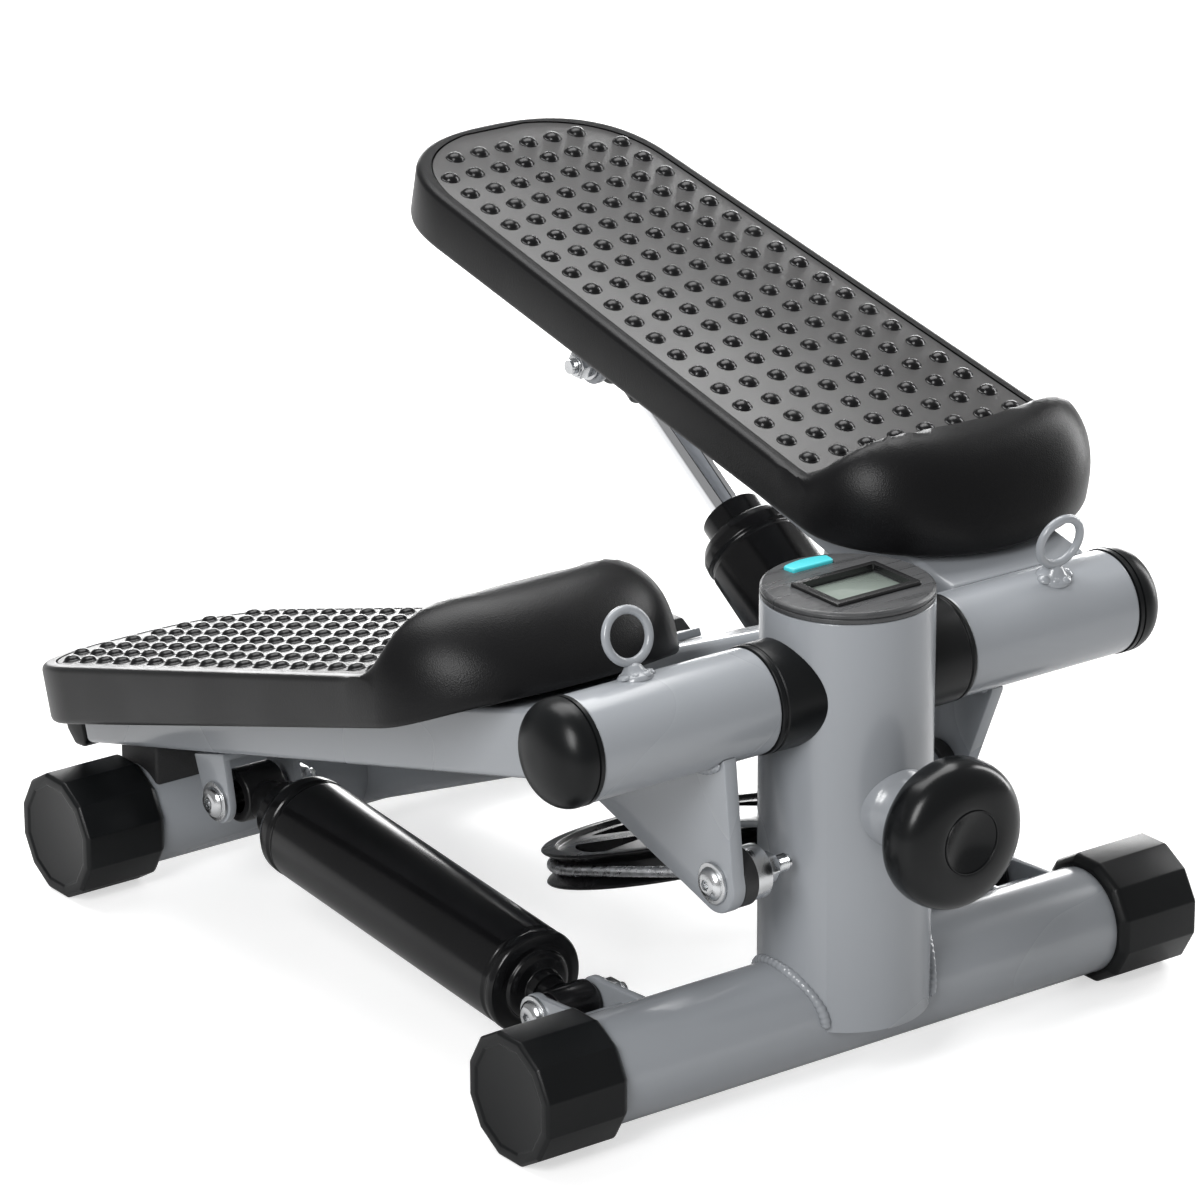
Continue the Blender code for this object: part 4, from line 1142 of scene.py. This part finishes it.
def rope(name, points):
    """Six wire strands laid round each other along the points."""
    fine = []
    for a, b in zip(points, points[1:]):
        steps = max(int((b - a).length / (0.9 * MM)), 1)
        fine += [a.lerp(b, k / steps) for k in range(steps)]
    fine.append(points[-1])
    lay = 9 * MM
    strand = CABLE_R * 0.4
    orbit = CABLE_R * 1.08 - strand
    parts = []
    for s in range(6):
        run_points = []
        travelled = 0.0
        up = UP.copy()
        for i, point in enumerate(fine):
            if i:
                travelled += (point - fine[i - 1]).length
            ahead = fine[min(i + 1, len(fine) - 1)]
            behind = fine[max(i - 1, 0)]
            run = (ahead - behind).normalized()
            side = run.cross(up).normalized()
            up = side.cross(run).normalized()
            a = 2 * pi * (travelled / lay + s / 6)
            run_points.append(point + (side * cos(a) + up * sin(a)) * orbit)
        parts.append(sweep("strand", run_points, [strand] * len(run_points), "wire_rope", 7))
    core = sweep("core", fine, [orbit] * len(fine), "wire_rope", 10)
    made = merge(core, *parts)
    made.name = name
    shade(made, 60)
    return made


def cable(ends):
    place = pulley_place()
    wrap = []
    for k in range(73):
        a = pi - pi * k / 72
        wrap.append(place @ Vector((CABLE_X * cos(a), CABLE_X * sin(a), 0)))
    middle = rope("cable_wrap", wrap)
    put(middle, "base", "wire_rope", "cable")
    for tag, (eye, run) in ends.items():
        tangent = cable_tangent(SIDES[tag])
        piece = rope("cable_run_" + tag, [eye + run * 12 * MM, tangent])
        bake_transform(piece)
        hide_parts("cable")


def pulley():
    r = PULLEY_R
    groove = CABLE_X - CABLE_R - 0.8 * MM
    half = 8.2 * MM
    place = pulley_place()
    profile = [
        (-half, 5.4 * MM), (-half, r - 0.8 * MM), (-half + 0.8 * MM, r),
        (-half + 1.8 * MM, r - 0.8 * MM), (-CABLE_R - 0.3 * MM, groove),
        (CABLE_R + 0.3 * MM, groove), (half - 1.8 * MM, r - 0.8 * MM),
        (half - 0.8 * MM, r), (half, r - 0.8 * MM), (half, r - 7 * MM), (half - 2.2 * MM, r - 8 * MM),
        (half - 2.2 * MM, 21 * MM), (half, 20 * MM), (half, 5.4 * MM),
    ]
    up = place.to_3x3() @ UP
    wheel = lathe("pulley_wheel_skin", profile, place.translation, up, "dark_nylon", 160, 0, 0.4 * MM)
    cutters = []
    for k in range(5):
        mid = 360 / 5 * k + 18
        outer = arc(0, 0, 52 * MM, mid - 24, mid + 24, 16)
        inner = arc(0, 0, 24 * MM, mid + 14, mid - 14, 8)
        under = place @ raised(-20 * MM)
        cutters.append(prism("window", rounded(outer + inner, 3 * MM, 4), under, 40 * MM))
    cut(wheel, *cutters)
    put(wheel, "pulley_wheel", "dark_nylon", "pulley")


def carrier():
    y0 = POST_R + 1.5 * MM
    half = 15 * MM
    place = pulley_place()
    high = (half, y0 + 4.5 * MM, 143 * MM)
    web = block("pulley_carrier_skin", (-half, y0, 70 * MM), high, "grey_paint")
    bevel(web, 0.9 * MM)
    cut(web, rod("spindle", SPINDLE_HOLE_R, (0, 35 * MM, KNOB_Z), (0, 60 * MM, KNOB_Z)))
    reach = -(PULLEY_Y - y0) / cos(PULLEY_TILT)
    arms = []
    for low in (9.4 * MM, -12.4 * MM):
        start = reach + 2 * MM - low * tan(PULLEY_TILT)
        end = arc(0, 2 * MM, half, 0, 180, 24)
        outline = [(-half, start), (half, start), *end, (-half, 2 * MM)]
        flat = prism("carrier_plate", outline, place @ raised(low), 3 * MM, "grey_paint")
        bevel(flat, 0.6 * MM, 2)
        hole = [place @ Vector((0, 0, z)) for z in (-20 * MM, 20 * MM)]
        cut(flat, rod("pin_hole", 5.3 * MM, *hole))
        arms.append(flat)
    merge(web, *arms)
    put(web, "base", "grey_paint", "pulley_carrier")
    pin = lathe(
        "pulley_pin_skin",
        [
            *mm((-15, 0), (-15, 4.4), (-14.4, 5), (12.7, 5), (12.7, 8), (15.5, 8), (16.6, 6.4)),
            *mm((17, 4.6), (17, 0)),
        ],
        place.translation, place.to_3x3() @ UP, "zinc", 48, 0, 0.4 * MM,
    )
    put(pin, "base", "zinc", "pulley_pin")


# Dampers


def top_pivot(place, x):
    v, w = TOP_PIVOT_VW
    return place @ Vector((x, v, w))


def upper_bracket(tag):
    side, place = pedal_side(tag)
    v, w = TOP_PIVOT_VW
    ear = [*arc(v, w, 11 * MM, 180, 360, 24), (v + 13 * MM, -9.2 * MM), (v - 13 * MM, -9.2 * MM)]
    x_low = side * DAMPER_X - 21 * MM
    near = plate("upper_bracket_skin_" + tag, ear, place, x_low, 4 * MM, "grey_paint")
    far = plate("ear", ear, place, x_low + 38 * MM, 4 * MM, "grey_paint")
    low, high = (x_low + 0.5 * MM, v - 12.9 * MM, -13 * MM), (x_low + 41.5 * MM, v + 12.9 * MM, -9.4 * MM)
    web = block("web", low, high, "grey_paint", place)
    bevel(web, 0.6 * MM, 2)
    for leaf in (near, far):
        hole = [top_pivot(place, side * DAMPER_X + d) for d in (-30 * MM, 30 * MM)]
        cut(leaf, rod("hole", BOLT_R + GAP, *hole))
    merge(near, far, web)
    on_pedal(near, tag, "grey_paint", "upper_bracket")
    start = top_pivot(place, side * (DAMPER_X + 21 * MM + GAP))
    made = bolt("upper_bolt_set_" + tag, start, (-side, 0, 0), 55 * MM, 42.8 * MM)
    on_pedal(made, tag, "zinc", "upper_bolt")


def lower_clevis(tag):
    side = SIDES[tag]
    y, z = LOW_PIVOT
    ear = [
        (12 * MM, TUBE_Z - 8 * MM), *arc(y, z, 10 * MM, -70, 110, 20), (12 * MM, TUBE_Z + 21 * MM),
    ]
    x_low = side * DAMPER_X - 18 * MM
    near = plate("lower_clevis_skin_" + tag, ear, Matrix(), x_low, 4 * MM, "grey_paint")
    far = plate("ear", ear, Matrix(), x_low + 32 * MM, 4 * MM, "grey_paint")
    low, high = (x_low + 1 * MM, 20 * MM, TUBE_Z - 7 * MM), (x_low + 35 * MM, 28.5 * MM, TUBE_Z + 14 * MM)
    web = block("web", low, high, "grey_paint")
    bevel(web, 0.6 * MM, 2)
    x0, x1 = x_low - 10 * MM, x_low + 46 * MM
    for leaf in (near, far, web):
        cut(leaf, tube_space(x0, x1, 0), rod("hole", BOLT_R + GAP, (x0, y, z), (x1, y, z)))
    merge(near, far, web)
    put(near, "base", "grey_paint", "lower_clevis_" + tag)
    start = (side * (DAMPER_X + 18 * MM + GAP), y, z)
    made = bolt("lower_bolt_set_" + tag, start, (-side, 0, 0), 49 * MM, 36.8 * MM)
    put(made, "base", "zinc", "lower_bolt_" + tag)


def damper(tag):
    side, place = pedal_side(tag)
    low = Vector((side * DAMPER_X, *LOW_PIVOT))
    high = top_pivot(place, side * DAMPER_X)
    run = (high - low).normalized()
    r = BODY_R
    profile = [
        *mm((15, 0), (15, 9), (20, 9.5), (21, 14), (22.4, 16.4), (24, 17), (24, 19.6)),
        (25 * MM, r - 0.8 * MM), (26.6 * MM, r), (29 * MM, r), (30 * MM, r - 1 * MM),
        (31.6 * MM, r - 1 * MM), (33 * MM, r - 0.2 * MM),
        (BODY_END - 16 * MM, r - 0.2 * MM), (BODY_END - 14.6 * MM, r - 1 * MM),
        (BODY_END - 13.2 * MM, r - 1 * MM), (BODY_END - 12 * MM, r), (BODY_END - 7 * MM, r - 0.3 * MM),
        (BODY_END - 3 * MM, r - 2.5 * MM), (BODY_END - 0.5 * MM, r - 6.5 * MM),
        (BODY_END, r - 9.5 * MM), (BODY_END + 10 * MM, r - 9.5 * MM),
        (BODY_END + 11 * MM, r - 10.5 * MM), (BODY_END + 11 * MM, ROD_R + GAP),
        (30 * MM, ROD_R + GAP), (30 * MM, 0),
    ]
    body = lathe("damper_tube_" + tag, profile, low, run, "damper_black", 112, 0, 0.6 * MM, 30)
    barrel = rod("barrel", 10 * MM, *sideways(low, 11 * MM), "damper_black", 64, 1.4 * MM)
    cut(barrel, rod("bore", BOLT_R + GAP, *sideways(low, 20 * MM)))
    bush = tube("bush", 7.6 * MM, BOLT_R + GAP, *sideways(low, 13.5 * MM), "bush_black", 48)
    neck = rod("neck", 7.6 * MM, low + run * 8 * MM, low + run * 22 * MM, "damper_black", 48)
    merge(body, barrel, bush, neck)
    put(body, "damper_" + tag, "damper_black", "damper_body_" + tag)
    stop = high - run * 11.5 * MM
    shaft = rod("damper_shaft_" + tag, ROD_R, stop - run * ROD_LEN, stop, "chrome", 72, 0.6 * MM)
    put(shaft, "rod_" + tag, "chrome", "damper_rod_" + tag)
    ends = sideways(high, 11 * MM)
    eye = rod("rod_eye_skin_" + tag, 13 * MM, *ends, "dark_nylon", 72, 1.4 * MM)
    hole = rod("hole", 8.6 * MM, *sideways(high, 20 * MM))
    socket = lathe(
        "socket",
        [
            (0, ROD_R + GAP), *mm((0, 9.4), (1, 10.2), (12, 10.2), (15.3, 9.2)),
            (15.3 * MM, ROD_R + GAP),
        ],
        high - run * 24 * MM, run, "dark_nylon", 56, 0, 0.5 * MM,
    )
    cut(eye, hole, rod("rod_space", ROD_R + GAP, high - run * 40 * MM, high - run * 11 * MM))
    merge(eye, socket)
    put(eye, "rod_" + tag, "dark_nylon", "rod_eye_" + tag)


def stop_pad(tag):
    """Rubber block on the rear tube, cut to the slope of a lowered pedal's arm."""
    side = SIDES[tag]
    x0, x1 = sorted((side * 96 * MM, side * 138 * MM))
    low, high = (x0, BASE_DEPTH - 16 * MM, 35 * MM), (x1, BASE_DEPTH + 16 * MM, 90 * MM)
    pad = block("stop_pad_skin_" + tag, low, high, "rubber_stop")
    slope = 12 * MM / (ARM_END - 16 * MM)
    line = [(v, -15.35 * MM + slope * (v - 16 * MM)) for v in (300 * MM, 450 * MM)]
    above = [*line, (450 * MM, 80 * MM), (300 * MM, 80 * MM)]
    cut(pad, prism("top", above, side_plane(pedal_place("L"), x0 - 5 * MM), 60 * MM))
    bevel(pad, 1.8 * MM, 3)
    cut(pad, tube_space(x0 - 5 * MM, x1 + 5 * MM, BASE_DEPTH))
    put(pad, "base", "rubber_stop", "stop_pad_" + tag)


def plain_nodes():
    """CAD nodes that keep their shape and get a finish."""
    looks = {"pivot_axle": "zinc", "pivot_bush_L": "dark_nylon", "pivot_bush_R": "dark_nylon"}
    for name, look in looks.items():
        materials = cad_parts[name].data.materials
        materials.clear()
        materials.append(LOOKS[look])


# Stage


def camera():
    made = bpy.data.cameras.new("camera")
    made.sensor_width = 36
    made.lens = 187.6626
    made.clip_end = 50
    obj = in_scene("camera", made)
    obj.location = (-1.61962, -2.0036, 1.18497)
    azimuth = radians(36.58)
    tilt = radians(20.56)
    obj.rotation_euler = (pi / 2 - tilt, radians(0.14), -azimuth)
    bpy.context.scene.camera = obj
    bpy.context.scene.view_settings.view_transform = "Standard"


def light(name, power, size, place, target):
    data = bpy.data.lights.new(name, "AREA")
    data.energy = power
    data.shape = "RECTANGLE"
    data.size = size[0]
    data.size_y = size[1]
    obj = in_scene(name, data)
    obj.location = place
    aim = Vector(target) - Vector(place)
    obj.rotation_euler = aim.to_track_quat("-Z", "Y").to_euler()


def stage():
    half = 6
    verts = [(x, y, 0) for x, y in rectangle(-half, -half, half, half)]
    floor_mat = surface("floor_pale", (0.6, 0.6, 0.6), 0.6, 60, 0.02, 0.01)
    tree = floor_mat.node_tree
    shader = tree.nodes["Principled BSDF"]
    fill(shader, Emission_Color=(1, 1, 1, 1))
    seen = tree.nodes.new("ShaderNodeLightPath").outputs["Is Camera Ray"]
    shine = tree.nodes.new("ShaderNodeMapRange")
    fill(shine, To_Min=0.04, To_Max=0.6)
    tree.links.new(seen, shine.inputs["Value"])
    tree.links.new(shine.outputs["Result"], shader.inputs["Emission Strength"])
    floor = mesh_object("floor", verts, [(0, 1, 2, 3)], None)
    floor.data.materials.append(floor_mat)
    world = bpy.data.worlds.new("studio")
    world.use_nodes = True
    fill(world.node_tree.nodes["Background"], Color=(1, 1, 1, 1), Strength=0.32)
    bpy.context.scene.world = world
    centre = (0, 0.15, 0.15)
    light("key", 44, (0.8, 1.2), (-1.8, -0.9, 1.5), centre)
    light("right", 20, (0.4, 1.6), (1.9, 0.1, 0.7), centre)
    light("top", 60, (2.2, 1.4), (0.2, 1.0, 2.2), centre)
    light("back", 36, (1.8, 0.8), (1.5, 2.1, 0.42), centre)


def main():
    camera()
    stage()
    cross_tube("front_cross_tube", 0)
    cross_tube("rear_cross_tube", BASE_DEPTH)
    for tag, side in SIDES.items():
        foot_cap("front_foot_cap_" + tag, side, 0)
        foot_cap("rear_foot_cap_" + tag, side, BASE_DEPTH)
    post()
    main_beam()
    collars()
    knob()
    display()
    ends = {}
    for tag in SIDES:
        pivot_tube(tag)
        dome_cap(tag)
        eye_ring(tag)
        lever(tag)
        ends[tag] = lever_hardware(tag)
        pedal_arm(tag)
        footplate(tag)
        tread(tag)
        upper_bracket(tag)
        lower_clevis(tag)
        damper(tag)
        stop_pad(tag)
    carrier()
    pulley()
    cable(ends)
    plain_nodes()


main()
